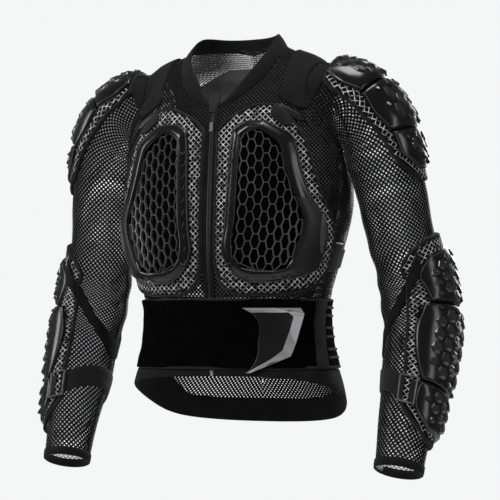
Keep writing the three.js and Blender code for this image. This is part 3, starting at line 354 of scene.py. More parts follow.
class Surface:
    """A form that pieces follow: at(u, v) in millimetres, and how the cloth on it folds"""

    def __init__(self, at, outward, steps, folds=None):
        self.at, self.outward, self.steps, self.folds = at, outward, steps, folds

    def slopes(self, u, v):
        du, dv = self.steps
        return self.at(u + du, v) - self.at(u - du, v), self.at(u, v + dv) - self.at(u, v - dv)

    def normal(self, u, v):
        return self.outward * unit(np.cross(*self.slopes(u, v)))

    def place(self, u, v, lift=0.0, folded=False):
        u, v = np.broadcast_arrays(np.asarray(u, float), np.asarray(v, float))
        lift = np.broadcast_to(np.asarray(lift, float), u.shape)
        if folded and self.folds:
            lift = lift + self.folds(u, v)
        return self.at(u, v) + self.normal(u, v) * lift[..., None]

    def scales(self, u, v):
        """Millimetres for each unit of u and of v"""
        return [np.linalg.norm(slope, axis=-1) / (2 * size) for slope, size in zip(self.slopes(u, v),
                                                                                   self.steps)]

    def scale(self, u, v):
        return self.scales(u, v)[0]


def sleeve_folds(u, v):
    turn = np.radians(u)
    elbow = np.exp(-((v - 400) / 90) ** 2)
    creases = np.sin(v / 8.5 + 1.6 * np.cos(turn)) * (0.5 - 0.5 * np.cos(turn)) * 1.5
    soft = 0.9 * np.sin(v / 31 + 2 * turn) + 0.7 * np.sin(v / 19 - turn)
    return elbow * creases + soft * step(90, 180, v) * (1 - 0.7 * step(600, 720, v))


def body_folds(u, v):
    turn = np.radians(u)
    return 0.9 * np.sin(v / 27 + 3 * turn) + 0.7 * np.sin(v / 17 - 2 * turn + 1)


def flipped(at, side):
    return lambda u, v: at(u, v) * np.array([side, 1, 1])


BODY = Surface(body_point, 1, (0.05, 0.3), body_folds)
SIDES = (("left", 1), ("right", -1))
CHEST = {name: Surface(flipped(body_point, side), side, (0.05, 0.3)) for name, side in SIDES}
SLEEVE = {name: Surface(flipped(sleeve_point, side), side, (0.05, 0.4), sleeve_folds) for name, side in SIDES}


def over_shoulder(share, turn):
    share, turn = np.broadcast_arrays(np.asarray(share, float), np.asarray(turn, float))
    angle = np.radians(turn)
    start = np.stack([share * CHEST_WIDTH, np.full(share.shape, SHOULDER_CENTRE[0]),
                      np.full(share.shape, SHOULDER_CENTRE[1])], -1)
    direction = np.stack([np.zeros(share.shape), -np.cos(angle), np.sin(angle)], -1)
    return reach_out(start, direction)


SHOULDER = {name: Surface(flipped(over_shoulder, side), side, (0.0005, 0.1)) for name, side in SIDES}


def outline(table, length=1.0):
    rows = np.array(table, float)
    rows[:, 0] *= length
    return rows[::-1] if rows[0, 0] > rows[-1, 0] else rows


def margin(surface, rows, u, v):
    """How far inside an outline points lie, in millimetres"""
    low, high, low_ahead, high_ahead, low_behind, high_behind = (
        curve(rows[:, 0], rows[:, k], v + ahead) for ahead in (0, 2, -2) for k in (1, 2))
    scale, along_scale = surface.scales(u, v)
    low_lean, high_lean = (np.hypot(1, (ahead - behind) / 4 * scale)
                           for ahead, behind in ((low_ahead, low_behind), (high_ahead, high_behind)))
    across = np.minimum((u - low) * scale / low_lean, (high - u) * scale / high_lean)
    return np.minimum(across, np.minimum(v - rows[0, 0], rows[-1, 0] - v) * along_scale)


def piece(name, points, faces, look, nodes=(), smooth=True, uv=None):
    """A finished piece, from points in millimetres, and the nodes of the part that it stands for"""
    mesh = bpy.data.meshes.new(name)
    mesh.from_pydata((np.asarray(points).reshape(-1, 3) * MM).tolist(), [], faces)
    mesh.validate()
    if smooth:
        mesh.shade_smooth()
    if uv is not None:
        layer = mesh.uv_layers.new(name="cloth")
        corners = np.zeros(len(mesh.loops), np.int32)
        mesh.loops.foreach_get("vertex_index", corners)
        layer.data.foreach_set("uv", (np.reshape(uv, (-1, 2))[corners] * MM).ravel())
    mesh.materials.append(look)
    made = bpy.data.objects.new(name, mesh)
    bpy.context.scene.collection.objects.link(made)
    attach(made, "root")
    if nodes:
        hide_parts(*nodes)
    return made


def grid_faces(rows, columns, wrap=False, start=0, flip=False):
    faces = []
    last = columns if wrap else columns - 1
    for r in range(rows - 1):
        for c in range(last):
            a, b = start + r * columns + c, start + r * columns + (c + 1) % columns
            quad = (a, b, b + columns, a + columns)
            faces.append(quad[::-1] if flip else quad)
    return faces


def eased(count):
    """Shares from 0 to 1, closer together at both ends"""
    t = np.linspace(0, 1, count)
    return t - np.sin(2 * np.pi * t) / (2 * np.pi) * 0.85


def second_look(made, look, index):
    """A second material on the faces that an array of 0 and 1 picks"""
    made.data.materials.append(look)
    made.data.polygons.foreach_set("material_index", np.asarray(index, np.int32))


def cushion(name, surface, rows, rise, edge, look, nodes=(), low=0.6, count=(26, 48),
            crown=0.0, relief=None, lit_lining=None):
    """A closed pad or strap that follows a surface, rounded at its edge and crowned in its middle"""
    v = rows[0, 0] + (rows[-1, 0] - rows[0, 0]) * eased(count[1])
    start, end = (curve(rows[:, 0], rows[:, k], v)[:, None] for k in (1, 2))
    u = start + (end - start) * eased(count[0])[None, :]
    v = np.broadcast_to(v[:, None], u.shape)
    inside = np.maximum(margin(surface, rows, u, v), 0)
    round_off = np.sqrt(1 - (1 - np.clip(inside / edge, 0, 1)) ** 2)
    lift = low + (rise - low) * round_off + crown * step(0, 4 * edge, inside)
    if relief:
        lift = lift + relief(u, v) * step(0, edge, inside)
    top, base = surface.place(u, v, lift), surface.place(u, v, np.minimum(lift, low))
    outward = surface.outward > 0
    faces = grid_faces(*u.shape, flip=not outward) + grid_faces(*u.shape, start=u.size, flip=outward)
    steps = np.linalg.norm(np.diff(top, axis=1), axis=-1)
    arc = np.cumsum(np.concatenate([np.zeros((len(u), 1)), steps], 1), 1)
    uv = pairs(arc - arc[:, u.shape[1] // 2][:, None], v)
    made = piece(name, [top, base], faces, look, nodes, uv=[uv, uv])
    # Painted light: the underside takes the paler lining, which stands for light inside the jacket
    if lit_lining:
        second_look(made, lit_lining, np.repeat([0, 1], len(faces) // 2))
    return made


def swept(name, points, normals, profile, look, closed=False, nodes=()):
    """A band whose cross-section, given as (across, up) corners, runs along a line of points"""
    ahead = np.roll(points, -1, 0) - np.roll(points, 1, 0)
    if not closed:
        ahead[0], ahead[-1] = points[1] - points[0], points[-1] - points[-2]
    across = unit(np.cross(normals, unit(ahead)))
    profile = np.asarray(profile, float)
    count = len(profile)
    verts = points[:, None] + across[:, None] * profile[None, :, :1] + normals[:, None] * profile[None, :, 1:]
    if closed:
        verts = np.concatenate([verts, verts[:1]])
    rows = len(verts)
    faces = grid_faces(rows, count, wrap=True)
    if not closed:
        faces += [tuple(range(count))[::-1], tuple((rows - 1) * count + i for i in range(count))]
    uv = pairs(profile[None, :, 0], lengths_along(verts[:, 0])[:, None])
    return piece(name, verts, faces, look, nodes, uv=uv)


def half_round(width, low, high, count=7):
    """The cross-section of a binding, seam or cord"""
    turn = np.linspace(0, np.pi, count)
    arch = [(width / 2 * math.cos(t), low + (high - low) * math.sin(t) ** 0.7) for t in turn]
    return arch + [(0, low - 0.4)]


def loop_of(rows, count=90, shrink=0.0, surface=None):
    """An outline's loop of (u, v) points, evenly spread, drawn in by a margin in millimetres"""
    v = rows[0, 0] + (rows[-1, 0] - rows[0, 0]) * eased(count)
    start, end = (curve(rows[:, 0], rows[:, k], v) for k in (1, 2))
    if shrink:
        scale = surface.scale((start + end) / 2, v)
        start, end = start + shrink / scale, end - shrink / scale
        v = np.clip(v, v[0] + shrink, v[-1] - shrink)
    ends = 9
    top = np.linspace(end[-1], start[-1], ends)[1:-1]
    bottom = np.linspace(start[0], end[0], ends)[1:-1]
    u = np.concatenate([end, top, start[::-1], bottom])
    vs = np.concatenate([v, np.full(len(top), v[-1]), v[::-1], np.full(len(bottom), v[0])])
    return u, vs


def edging(name, surface, rows, lift, width, rise, look, shrink=1.0):
    """A binding round the edge of a pad"""
    u, v = loop_of(rows, shrink=shrink, surface=surface)
    points = surface.place(u, v, lift)
    return swept(name, points, surface.normal(u, v), half_round(width, 0, rise), look, closed=True)


def net(name, surface, span, pitch, hole, keep, lift, look, nodes=(), folded=False, depth=0.0,
        lit_lining=None, lit_above=-math.inf):
    """Cloth knotted into open diamonds, or a net of threads: every hole is cut through. With a depth it has an inner
    layer too. Above a height that layer takes the lining, which is painted light: a paler copy of the cloth where
    the jacket's inside is lit. Below that height it keeps the cloth's own black."""
    half = pitch / math.sqrt(2)
    v = np.arange(*span, half)
    angles = np.linspace(-180, 180, 361)
    arcs_round = [lengths_along(surface.at(angles, np.full(angles.shape, height))) for height in v]
    arcs_round = [arc - arc[180] for arc in arcs_round]
    widest = int(max(arc[-1] for arc in arcs_round) / half) + 1
    across = np.arange(-widest, widest + 1) * half
    u = np.stack([np.interp(across, arc, angles) for arc in arcs_round])
    inside = np.stack([np.abs(across) <= arc[-1] + half / 2 for arc in arcs_round])
    vv = np.broadcast_to(v[:, None], u.shape)
    lifts = lift(u, vv) if callable(lift) else lift
    points = surface.place(u, vv, lifts, folded)
    jj, ii = np.indices(u.shape)
    centres = ((ii + jj) % 2 == 0) & inside & keep(u, vv, points)
    centres[0] = centres[-1] = centres[:, 0] = centres[:, -1] = False
    j, i = np.nonzero(centres)
    corners = np.stack([j * u.shape[1] + i + 1, (j + 1) * u.shape[1] + i,
                        j * u.shape[1] + i - 1, (j - 1) * u.shape[1] + i], 1)
    used, index = np.unique(corners, return_inverse=True)
    index = index.reshape(corners.shape)
    open_share = np.broadcast_to(hole(u[j, i], vv[j, i]) if callable(hole) else hole, j.shape)[:, None, None]

    def drawn_in(grid):
        """The corners of each hole, drawn in from the corners of its diamond"""
        middle = grid[j, i][:, None]
        return middle + open_share * (grid.reshape(-1, grid.shape[-1])[corners] - middle)

    flat_uv = pairs(across[None, :], vv)
    uv = [flat_uv.reshape(-1, 2)[used], drawn_in(flat_uv).reshape(-1, 2)]
    verts, quads, cloth_uv = [], [], []
    for order, grid in enumerate([points, surface.place(u, vv, lifts - depth,
                                                        folded)] if depth else [points]):
        start = order * (len(used) + 4 * len(j))
        verts += [grid.reshape(-1, 3)[used], drawn_in(grid).reshape(-1, 3)]
        cloth_uv += uv
        rim = index + start
        ring = len(used) + start + np.arange(len(j) * 4).reshape(-1, 4)
        for k in range(4):
            n = (k + 1) % 4
            quad = np.stack([rim[:, k], rim[:, n], ring[:, n], ring[:, k]], 1)
            quads.append(quad[:, ::-1] if order else quad)
    faces = np.concatenate(quads)[:, ::int(surface.outward)]
    made = piece(name, np.concatenate(verts), faces.tolist(), look, nodes, uv=np.concatenate(cloth_uv))
    if depth:
        # Painted light: inner faces above the height get the paler lit lining, and those below keep the black cloth
        lit_inner_faces = np.tile(vv[j, i] > lit_above, 4)
        second_look(made, lit_lining, np.concatenate([np.zeros(lit_inner_faces.size), lit_inner_faces]))
    return made


def staggered(surface, rows, origin, pitch, least):
    """Centres of staggered cells that fit an outline, with the scale and the margin there"""
    for column in range(-12, 13):
        for row in range(-40, 41):
            v = origin[1] + (row + (column % 2) / 2) * pitch[1]
            if rows[0, 0] < v < rows[-1, 0]:
                scale = float(surface.scale(np.array(origin[0]), np.array(v)))
                u = origin[0] + column * pitch[0] / scale
                inside = float(margin(surface, rows, np.array(u), np.array(v)))
                if inside >= least:
                    yield u, v, scale, inside


def hex_edges(surface, rows, origin, pitch, least):
    """The walls of six-sided cells that fit an outline, as pairs of (u, v) ends, each wall once"""
    walls = {}
    for u, v, scale, _ in staggered(surface, rows, origin, pitch, least):
        ring = []
        for x, y in HEXAGON:
            end_v = min(max(v + y * pitch[1], rows[0, 0]), rows[-1, 0])
            low, high = (float(curve(rows[:, 0], rows[:, k], end_v)) for k in (1, 2))
            ring.append((min(max(u + x * pitch[0] / scale, low), high), end_v))
        for a, b in zip(ring, ring[1:] + ring[:1]):
            key = tuple(sorted(((round(a[0], 1), round(a[1])), (round(b[0], 1), round(b[1])))))
            walls[key] = (a, b)
    return [wall for key, wall in walls.items() if key[0] != key[1]]


def ridges(name, surface, walls, low, high, top, base, look, nodes=()):
    """Standing walls between cells, wider at the base than at the top"""
    ends = np.array(walls)
    a, b = (surface.place(ends[:, k, 0], ends[:, k, 1]) for k in (0, 1))
    along = unit(b - a)
    verts, faces = [], []
    for k, point in enumerate((a, b)):
        normal = surface.normal(ends[:, k, 0], ends[:, k, 1])
        side = np.cross(normal, along)
        for width, height in ((-base, low), (-top, high), (top, high), (base, low)):
            verts.append(point + side * width / 2 + normal * height)
    for s in range(0, 8 * len(ends), 8):
        faces += [(s, s + 1, s + 5, s + 4), (s + 1, s + 2, s + 6, s + 5), (s + 2, s + 3, s + 7, s + 6),
                  (s, s + 3, s + 2, s + 1), (s + 4, s + 5, s + 6, s + 7)]
    return piece(name, np.stack(verts, 1), faces, look, nodes, smooth=False)


def studs(name, surface, rows, origin, pitch, least, low, high, look):
    """Six-sided blunt studs in staggered columns, each with a slanting top"""
    ring = np.array(HEXAGON)
    layers = ((0.88, low - STUD_SKIRT, 0), (0.86, low, 0), (0.76, low + 0.5 * (high - low), 0),
              (0.52, high, 0.3 * (high - low)))
    us, vs, lifts, faces = [], [], [], []
    for u, v, scale, inside in staggered(surface, rows, origin, pitch, least):
        fit = min(1.0, (inside - 0.35 * least) / (0.62 * max(pitch)))
        start = len(us) * 6
        for share, lift, tilt in layers:
            us.append(u + ring[:, 0] * pitch[0] * share * fit / scale)
            vs.append(v + ring[:, 1] * pitch[1] * share * fit)
            lifts.append(lift + tilt * 2 * ring[:, 1])
        for a in range(start, start + 18, 6):
            faces += [(a + k, a + (k + 1) % 6, a + 6 + (k + 1) % 6, a + 6 + k) for k in range(6)]
        faces.append(tuple(range(start + 18, start + 24)))
    if surface.outward < 0:
        faces = [face[::-1] for face in faces]
    points = surface.place(np.concatenate(us), np.concatenate(vs), np.concatenate(lifts))
    piece(name, points, faces, look, smooth=False)


# Materials
def new_material(name, colour, roughness, **values):
    made = bpy.data.materials.new(name)
    made.use_nodes = True
    shader = made.node_tree.nodes["Principled BSDF"]
    shader.inputs["Base Color"].default_value = (*colour, 1)
    shader.inputs["Roughness"].default_value = roughness
    for socket, value in values.items():
        shader.inputs[socket.replace("_", " ")].default_value = value
    return made, shader


def node(tree, kind, **values):
    """A node whose sockets and settings are given by name"""
    made = tree.nodes.new(kind)
    for key, value in values.items():
        socket = key.replace("_", " ")
        if socket in made.inputs.keys():
            made.inputs[socket].default_value = value
        else:
            setattr(made, key, value)
    return made


def link(start, end):
    start.id_data.links.new(start, end)


def mix_colours(shader, factor, dark, light, ends=(0.0, 1.0)):
    """A base colour between two tones"""
    ramp = node(shader.id_data, "ShaderNodeValToRGB")
    for element, colour, position in zip(ramp.color_ramp.elements, (dark, light), ends):
        element.color = (*colour, 1)
        element.position = position
    link(factor, ramp.inputs["Fac"])
    link(ramp.outputs["Color"], shader.inputs["Base Color"])


def roughen(shader, height, strength, distance):
    relief = node(shader.id_data, "ShaderNodeBump", Strength=strength, Distance=distance)
    link(height, relief.inputs["Height"])
    link(relief.outputs["Normal"], shader.inputs["Normal"])


def cloth(name, dark, light, thread, roughness=0.85, bump=0.35, sheen=0.15, slant=False, gloss=0.12):
    """Woven or knitted cloth: two crossing sets of threads, uneven in tone"""
    made, shader = new_material(name, dark, roughness, Sheen_Weight=sheen, Sheen_Roughness=0.5,
                                Specular_IOR_Level=gloss)
    tree = shader.id_data
    place = node(tree, "ShaderNodeUVMap", uv_map="cloth")
    turn = node(tree, "ShaderNodeMapping", Rotation=(0, 0, math.radians(45 if slant else 0)))
    link(place.outputs["UV"], turn.inputs["Vector"])
    weave = node(tree, "ShaderNodeMath", operation="MULTIPLY")
    for k, direction in enumerate("XY"):
        wave = node(tree, "ShaderNodeTexWave", bands_direction=direction, Scale=math.pi / 20 / (thread * MM),
                    Distortion=1.2, Detail_Scale=2.0)
        link(turn.outputs["Vector"], wave.inputs["Vector"])
        link(wave.outputs["Fac"], weave.inputs[k])
    patches = node(tree, "ShaderNodeTexNoise", Scale=38.0, Detail=4.0)
    coordinates = node(tree, "ShaderNodeTexCoord")
    link(coordinates.outputs["Object"], patches.inputs["Vector"])
    tone = node(tree, "ShaderNodeMath", operation="MULTIPLY_ADD")
    tone.inputs[1].default_value = 0.55
    link(weave.outputs["Value"], tone.inputs[0])
    link(patches.outputs["Fac"], tone.inputs[2])
    mix_colours(shader, tone.outputs["Value"], dark, light, (0.3, 1.0))
    roughen(shader, weave.outputs["Value"], bump, 0.0006)
    return made


def moulded(name, dark, light, roughness, gloss=0.4, grain=260.0, bump=0.04, metallic=0.0, patches=14.0,
            ends=(0.0, 1.0)):
    """Moulded plastic or metal: faint grain, uneven gloss and a little wear in tone"""
    made, shader = new_material(name, dark, roughness, Metallic=metallic, Specular_IOR_Level=gloss)
    tree = shader.id_data
    coordinates = node(tree, "ShaderNodeTexCoord")
    broad = node(tree, "ShaderNodeTexNoise", Scale=patches, Detail=5.0)
    fine = node(tree, "ShaderNodeTexNoise", Scale=grain, Detail=3.0)
    for texture in (broad, fine):
        link(coordinates.outputs["Object"], texture.inputs["Vector"])
    mix_colours(shader, broad.outputs["Fac"], dark, light, ends)
    uneven = node(tree, "ShaderNodeMapRange", To_Min=max(roughness - 0.07, 0.02), To_Max=min(roughness + 0.1,
                                                                                             1.0))
    link(broad.outputs["Fac"], uneven.inputs["Value"])
    link(uneven.outputs["Result"], shader.inputs["Roughness"])
    roughen(shader, fine.outputs["Fac"], bump, 0.0005)
    return made


def grey(value):
    return (value, value, value * 1.02)


MESH = cloth("mesh_cloth", grey(0.001), grey(0.004), 0.7, bump=0.3, sheen=0.02)
# Painted light: the cloth's inner faces and the pads' linings are lighter grey copies of the black mesh cloth. They
# stand for light inside the jacket, which shows as bright dots through the holes. The sleeves' copy is paler than
# the body's.
LIT_INNER_FACE = cloth("mesh_inner_face_painted_light", grey(0.22), grey(0.45), 0.7, bump=0.3, sheen=0.02)
BODY_LIT_INNER_FACE = cloth("body_inner_face_painted_light", grey(0.05), grey(0.14), 0.7, bump=0.3, sheen=0.02)
STRETCH = cloth("stretch_cloth", grey(0.003), grey(0.011), 0.55, bump=0.25, sheen=0.04)
VELOUR = cloth("velour", grey(0.0006), grey(0.003), 0.5, roughness=0.95, bump=0.5, sheen=0.0, slant=True,
               gloss=0.02)
WEBBING = cloth("webbing", grey(0.003), grey(0.014), 1.1, roughness=0.7, bump=0.6, slant=True)
PAD_CLOTH = cloth("pad_cloth", grey(0.001), grey(0.006), 1.0, bump=0.5, sheen=0.02)
BINDING_CLOTH = cloth("binding_cloth", grey(0.006), grey(0.024), 0.8, bump=0.7, sheen=0.08)
RIB_CLOTH = cloth("rib_cloth", grey(0.012), grey(0.05), 0.8, bump=0.6)
FLAP_CLOTH = cloth("flap_cloth", grey(0.01), grey(0.026), 0.6, roughness=0.75)
THREAD = moulded("net_thread", grey(0.03), grey(0.95), 0.4, grain=900.0, bump=0.3, patches=150.0, ends=(0.38,
                                                                                                        0.66))
SHELL = moulded("shell_gloss", grey(0.003), grey(0.006), 0.2)
SKIN = moulded("shell_skin", grey(0.003), grey(0.007), 0.42, grain=1400.0, bump=0.35)
RIDGE = moulded("ridge_gloss", grey(0.006), grey(0.018), 0.24, gloss=0.8)
CELL = moulded("cell_wall", grey(0.05), grey(0.14), 0.28, patches=60.0)
DARK = moulded("cell_floor", grey(0.0005), grey(0.002), 0.9, gloss=0.05)
PLASTIC = moulded("satin_plastic", grey(0.004), grey(0.012), 0.36)
SILVER = moulded("silver_trim", grey(0.3), grey(0.5), 0.42, metallic=0.6)
# Painted highlight: a lighter grey copy of the black shell plastic, used for the raised rims, scallops, scales and
# the shell's facet. It stands for the bright lines where they catch light.
HIGHLIGHT_GREY = moulded("shell_highlight_grey", grey(0.03), grey(0.09), 0.25, patches=40.0)
BEVEL = moulded("badge_black", grey(0.004), grey(0.008), 0.3)


def hem_height(y):
    return curve(HEM_LINE[:, 0], HEM_LINE[:, 1], y)


def neck_gap(points):
    x, y = points[..., 0] / (NECK_WIDTH / 2), (points[..., 1] - NECK_MIDDLE) / (NECK_DEPTH / 2)
    return (x * x + y * y < 1) & (points[..., 2] > -0.2 * BODY_LENGTH)


PAD_ROWS = outline(CHEST_PAD, BODY_LENGTH)
SHELL_ROWS = outline(CHEST_SHELL, BODY_LENGTH)
WINDOW_ROWS = outline(CHEST_WINDOW, BODY_LENGTH)
BACK_ROWS = outline(BACK_PAD, BODY_LENGTH)


def airier_behind(front, most, hem=-math.inf, yoke=math.inf):
    """The mesh's open share: closer in front, at the hem and over the yoke, airier behind"""
    def share(degrees, height):
        behind = step(0.4, 0.7, 0.5 - 0.5 * np.cos(np.radians(degrees - front))) * (1 - step(0, 10,
                                                                                             height - yoke))
        return np.where(height < hem, HEM_HOLE, MESH_HOLE + (most - MESH_HOLE) * behind)
    return share


def make_mesh_cloth():
    """The pierced cloth of the body and the sleeves, left out where a pad or the belt hides it"""
    def body_there(u, v, points):
        angle = np.abs((u + 180) % 360 - 180)
        pad = (margin(BODY, PAD_ROWS, angle, v) > HIDDEN) & (v < PAD_ROWS[-1, 0]) & (v > PAD_ROWS[0, 0])
        belt = (v < BELT_TOP - HIDDEN) & (v > BELT_BOTTOM + HIDDEN)
        open_front = (np.abs(points[..., 0]) < ZIP_HALF) & (points[..., 1] < 0)
        gone = pad | belt | open_front | neck_gap(points) | inside_sleeve(points)
        return ~gone & (v > hem_height(points[..., 1]) + HEM_LAP)

    panels = (
        ("left_front", lambda p: (p[..., 1] < SIDE_SEAM) & (p[..., 0] > 0)),
        ("right_front", lambda p: (p[..., 1] < SIDE_SEAM) & (p[..., 0] <= 0)),
        ("back", lambda p: p[..., 1] >= SIDE_SEAM),
    )
    for name, part in panels:
        # Painted light: inner faces above the belt's top take the body's paler lit lining, and below it they stay
        # black
        net(f"{name}_cloth", BODY, BODY_SPAN, MESH_PITCH, airier_behind(0, BACK_HOLE, BELT_BOTTOM,
                                                                        YOKE_HEIGHT),
            lambda u, v, p, part=part: body_there(u, v, p) & part(p), CLOTH_LIFT, MESH,
            (f"{name}_mesh",),
            folded=True, depth=MESH_DEPTH, lit_lining=BODY_LIT_INNER_FACE, lit_above=BELT_TOP)
    pads = [outline(pad, SLEEVE_LENGTH) for pad in (FOREARM_PAD, SHOULDER_PAD)]
    for name, surface in SLEEVE.items():
        def sleeve_there(u, v, points):
            under = np.any([margin(surface, rows, u, v) > HIDDEN for rows in pads], axis=0)
            return ~under & ~inside_body(points) & (v < SLEEVE_LENGTH - 3)

        # Painted light: the sleeves' inner faces take the paler lit lining
        net(f"{name}_sleeve_cloth", surface, (0, SLEEVE_LENGTH), SLEEVE_PITCH, airier_behind(90, SLEEVE_HOLE_BEHIND),
            sleeve_there, CLOTH_LIFT, MESH, (f"{name}_sleeve",), folded=True, depth=MESH_DEPTH,
            lit_lining=LIT_INNER_FACE)


def armour_pad(name, surface, rows, cover, rise, seat, count):
    """A pad with a bound edge, and a net of threads on the border that its shells leave free"""
    # Painted light: the pad's underside takes the paler lit lining
    cushion(f"{name}_padding", surface, rows, rise - 1, PAD_EDGE, PAD_CLOTH, (f"{name}_pad",),
            count=count,
            lit_lining=LIT_INNER_FACE)
    edging(f"{name}_binding", surface, rows, seat, 6.5, seat + 5.2, BINDING_CLOTH, shrink=2.2)

    def on_border(u, v, points):
        return (margin(surface, rows, u, v) > PAD_EDGE - 0.5) & (margin(surface, cover, u, v) < 1.5)

    def border_lift(u, v):
        outer = np.clip(margin(surface, rows, u, v) / PAD_EDGE, 0, 1)
        return 0.6 + (rise - 1.6) * np.sqrt(1 - (1 - outer) ** 2) + 0.5

    net(f"{name}_net", surface, (rows[0, 0], rows[-1, 0]), NET_PITCH, NET_HOLE, on_border, border_lift,
        THREAD)


def make_chest():
    """Pads with a thread net round glossy shells, and a honeycomb in each shell's window"""
    for name, surface in CHEST.items():
        armour_pad(f"{name}_chest", surface, PAD_ROWS, SHELL_ROWS, PAD_RISE, 1.2, (40, 70))
        make_shell(name, surface)


def arcs(name, surface, centres, size, lift):
    """Small raised crescents, such as scallops or scales"""
    verts, faces = [], []
    angles = np.radians(np.linspace(180, 360, 9))
    cross = ((-0.7, -0.6), (0, 0.7), (0.7, -0.6))
    for u, v in centres:
        scale = float(surface.scale(np.array(float(u)), np.array(float(v))))
        rings = [surface.place(u + (size[0] + out) * np.cos(angles) / scale,
                               v + (size[1] + out) * np.sin(angles),
                               lift + up) for out, up in cross]
        faces += grid_faces(len(angles), len(cross), start=len(verts))
        verts += list(np.stack(rings, 1).reshape(-1, 3))
    # Painted highlight: the crescents are drawn in the lighter highlight grey
    piece(name, verts, faces, HIGHLIGHT_GREY)


def make_shell(name, surface):
    outer_u, outer_v = loop_of(SHELL_ROWS, 60)
    inner_u, inner_v = loop_of(WINDOW_ROWS, 60)
    profile = ((0, PAD_RISE - 1), (0, PAD_RISE + 3), (0.02, PAD_RISE + 4.4), (0.07, PAD_RISE + 5),
               (0.12, PAD_RISE + 4.2), (0.2, PAD_RISE + 4.6), (0.4, SHELL_RISE - 3), (0.65, SHELL_RISE - 0.8),
               (0.82, SHELL_RISE), (0.93, SHELL_RISE - 0.5), (0.99, SHELL_RISE - 2.2), (1, SHELL_RISE - 4),
               (1, PAD_RISE + 1))
    rings = [surface.place(outer_u + (inner_u - outer_u) * t, outer_v + (inner_v - outer_v) * t, lift)
             for t, lift in profile]
    columns = len(outer_u)
    faces = grid_faces(len(rings), columns, wrap=True, flip=surface.outward > 0)
    made = piece(f"{name}_chest_shell_gloss", rings, faces, SHELL, (f"{name}_chest_shell",))
    ring, column = np.divmod(np.arange(len(faces)), columns)
    low_side = (outer_u[column] > 47) & (np.abs(outer_v[column] / BODY_LENGTH + 0.5) < 0.1)
    second_look(made, SKIN, low_side & (ring >= 4) & (ring <= 8))
    # Painted highlight: the facet is drawn in the lighter highlight grey
    cushion(f"{name}_shell_facet", surface, outline(SHELL_FACET, BODY_LENGTH), PAD_RISE + 7.2, 1, HIGHLIGHT_GREY,
            low=PAD_RISE + 3, count=(8, 14))
    # Painted highlight: the shell's rim line is drawn in the lighter highlight grey
    rim_u, rim_v = loop_of(SHELL_ROWS, 60, shrink=2.2, surface=surface)
    swept(f"{name}_shell_highlight_grey", surface.place(rim_u, rim_v, PAD_RISE + 4.6), surface.normal(rim_u, rim_v),
          half_round(1.6, -0.8, 1.0), HIGHLIGHT_GREY, closed=True)
    scallops = [(12.4, z * BODY_LENGTH) for z in np.linspace(-0.26, -0.55, 10)]
    arcs(f"{name}_shell_scallops", surface, scallops, (5.2, 7.5), SCALLOP_LIFT)
    scales = [(20 + 6.2 * k + 3.1 * row,
               (-0.574 - 0.012 * row) * BODY_LENGTH) for row in range(2) for k in range(4)]
    arcs(f"{name}_shell_scales", surface, scales, (7.5, 8), SHELL_RISE - 2.2)
    cushion(f"{name}_cell_floor", surface, WINDOW_ROWS, PAD_RISE + 1.5, 2, DARK,
            low=PAD_RISE + 0.5,
            count=(12, 24))
    walls = hex_edges(surface, WINDOW_ROWS, (17.5, -0.24 * BODY_LENGTH), CELL_PITCH, 1.0)
    ridges(f"{name}_honeycomb_walls", surface, walls, PAD_RISE + 1, SHELL_RISE - 4, 0.9, 1.8, CELL,
           (f"{name}_honeycomb",))


def make_limb_armour():
    """Pads on the arms with studded plates that leave a smooth border in front"""
    for name, surface in SLEEVE.items():
        for kind, pad, plates, pitches in LIMB_ARMOUR:
            label = f"{name}_{kind}"
            covers = [outline(plate, SLEEVE_LENGTH) for plate in plates]
            armour_pad(label, surface, outline(pad, SLEEVE_LENGTH), np.concatenate(covers), LIMB_RISE, 1.0,
                       (48, 60))
            for i, (cover, pitch) in enumerate(zip(covers, pitches), 1):
                lapped, studded = cover.copy(), cover.copy()
                lapped[[0, -1], 0] += (-PLATE_LAP, PLATE_LAP)
                studded[:, 2] -= (studded[:, 2] - studded[:, 1]) * FRONT_BORDER[kind]
                cushion(f"{label}_shell_{i}", surface, lapped, PLATE_RISE - 1, 5, SHELL,
                        (f"{label}_plate_{i}",), low=LIMB_RISE - 1, count=(44, 32), crown=1.6)
                # Painted highlight: each plate's rim is drawn in the lighter highlight grey
                edging(f"{label}_rim_{i}", surface, cover, PLATE_RISE - 1.7, 1.5, 1.3, HIGHLIGHT_GREY, shrink=3)
                studs(f"{label}_studs_{i}", surface, studded, (-8, (cover[0, 0] + cover[-1, 0]) / 2), pitch,
                      6.5,
                      PLATE_RISE - 0.6, PLATE_RISE + STUD_TOP[kind], RIDGE)


def make_back():
    # Painted light: the back pad's underside takes the body's paler lit lining
    cushion("back_padding", BODY, BACK_ROWS, BACK_RISE - 1, 7, PAD_CLOTH, ("back_pad",), count=(40,
                                                                                                       60),
            lit_lining=BODY_LIT_INNER_FACE)
    edging("back_binding", BODY, BACK_ROWS, 1.2, 7, 6.5, BINDING_CLOTH, shrink=2.4)
    rows = outline(BACK_SHELL, BODY_LENGTH)
    cushion("back_shell_gloss", BODY, rows, BACK_SHELL_RISE - 2, 9, SHELL, ("back_shell",),
            low=BACK_RISE - 1, count=(40, 60))
    studs("back_studs", BODY, rows, (180, -0.33 * BODY_LENGTH), (22, 30), 12, BACK_SHELL_RISE - 2,
          BACK_SHELL_RISE + 3, RIDGE)


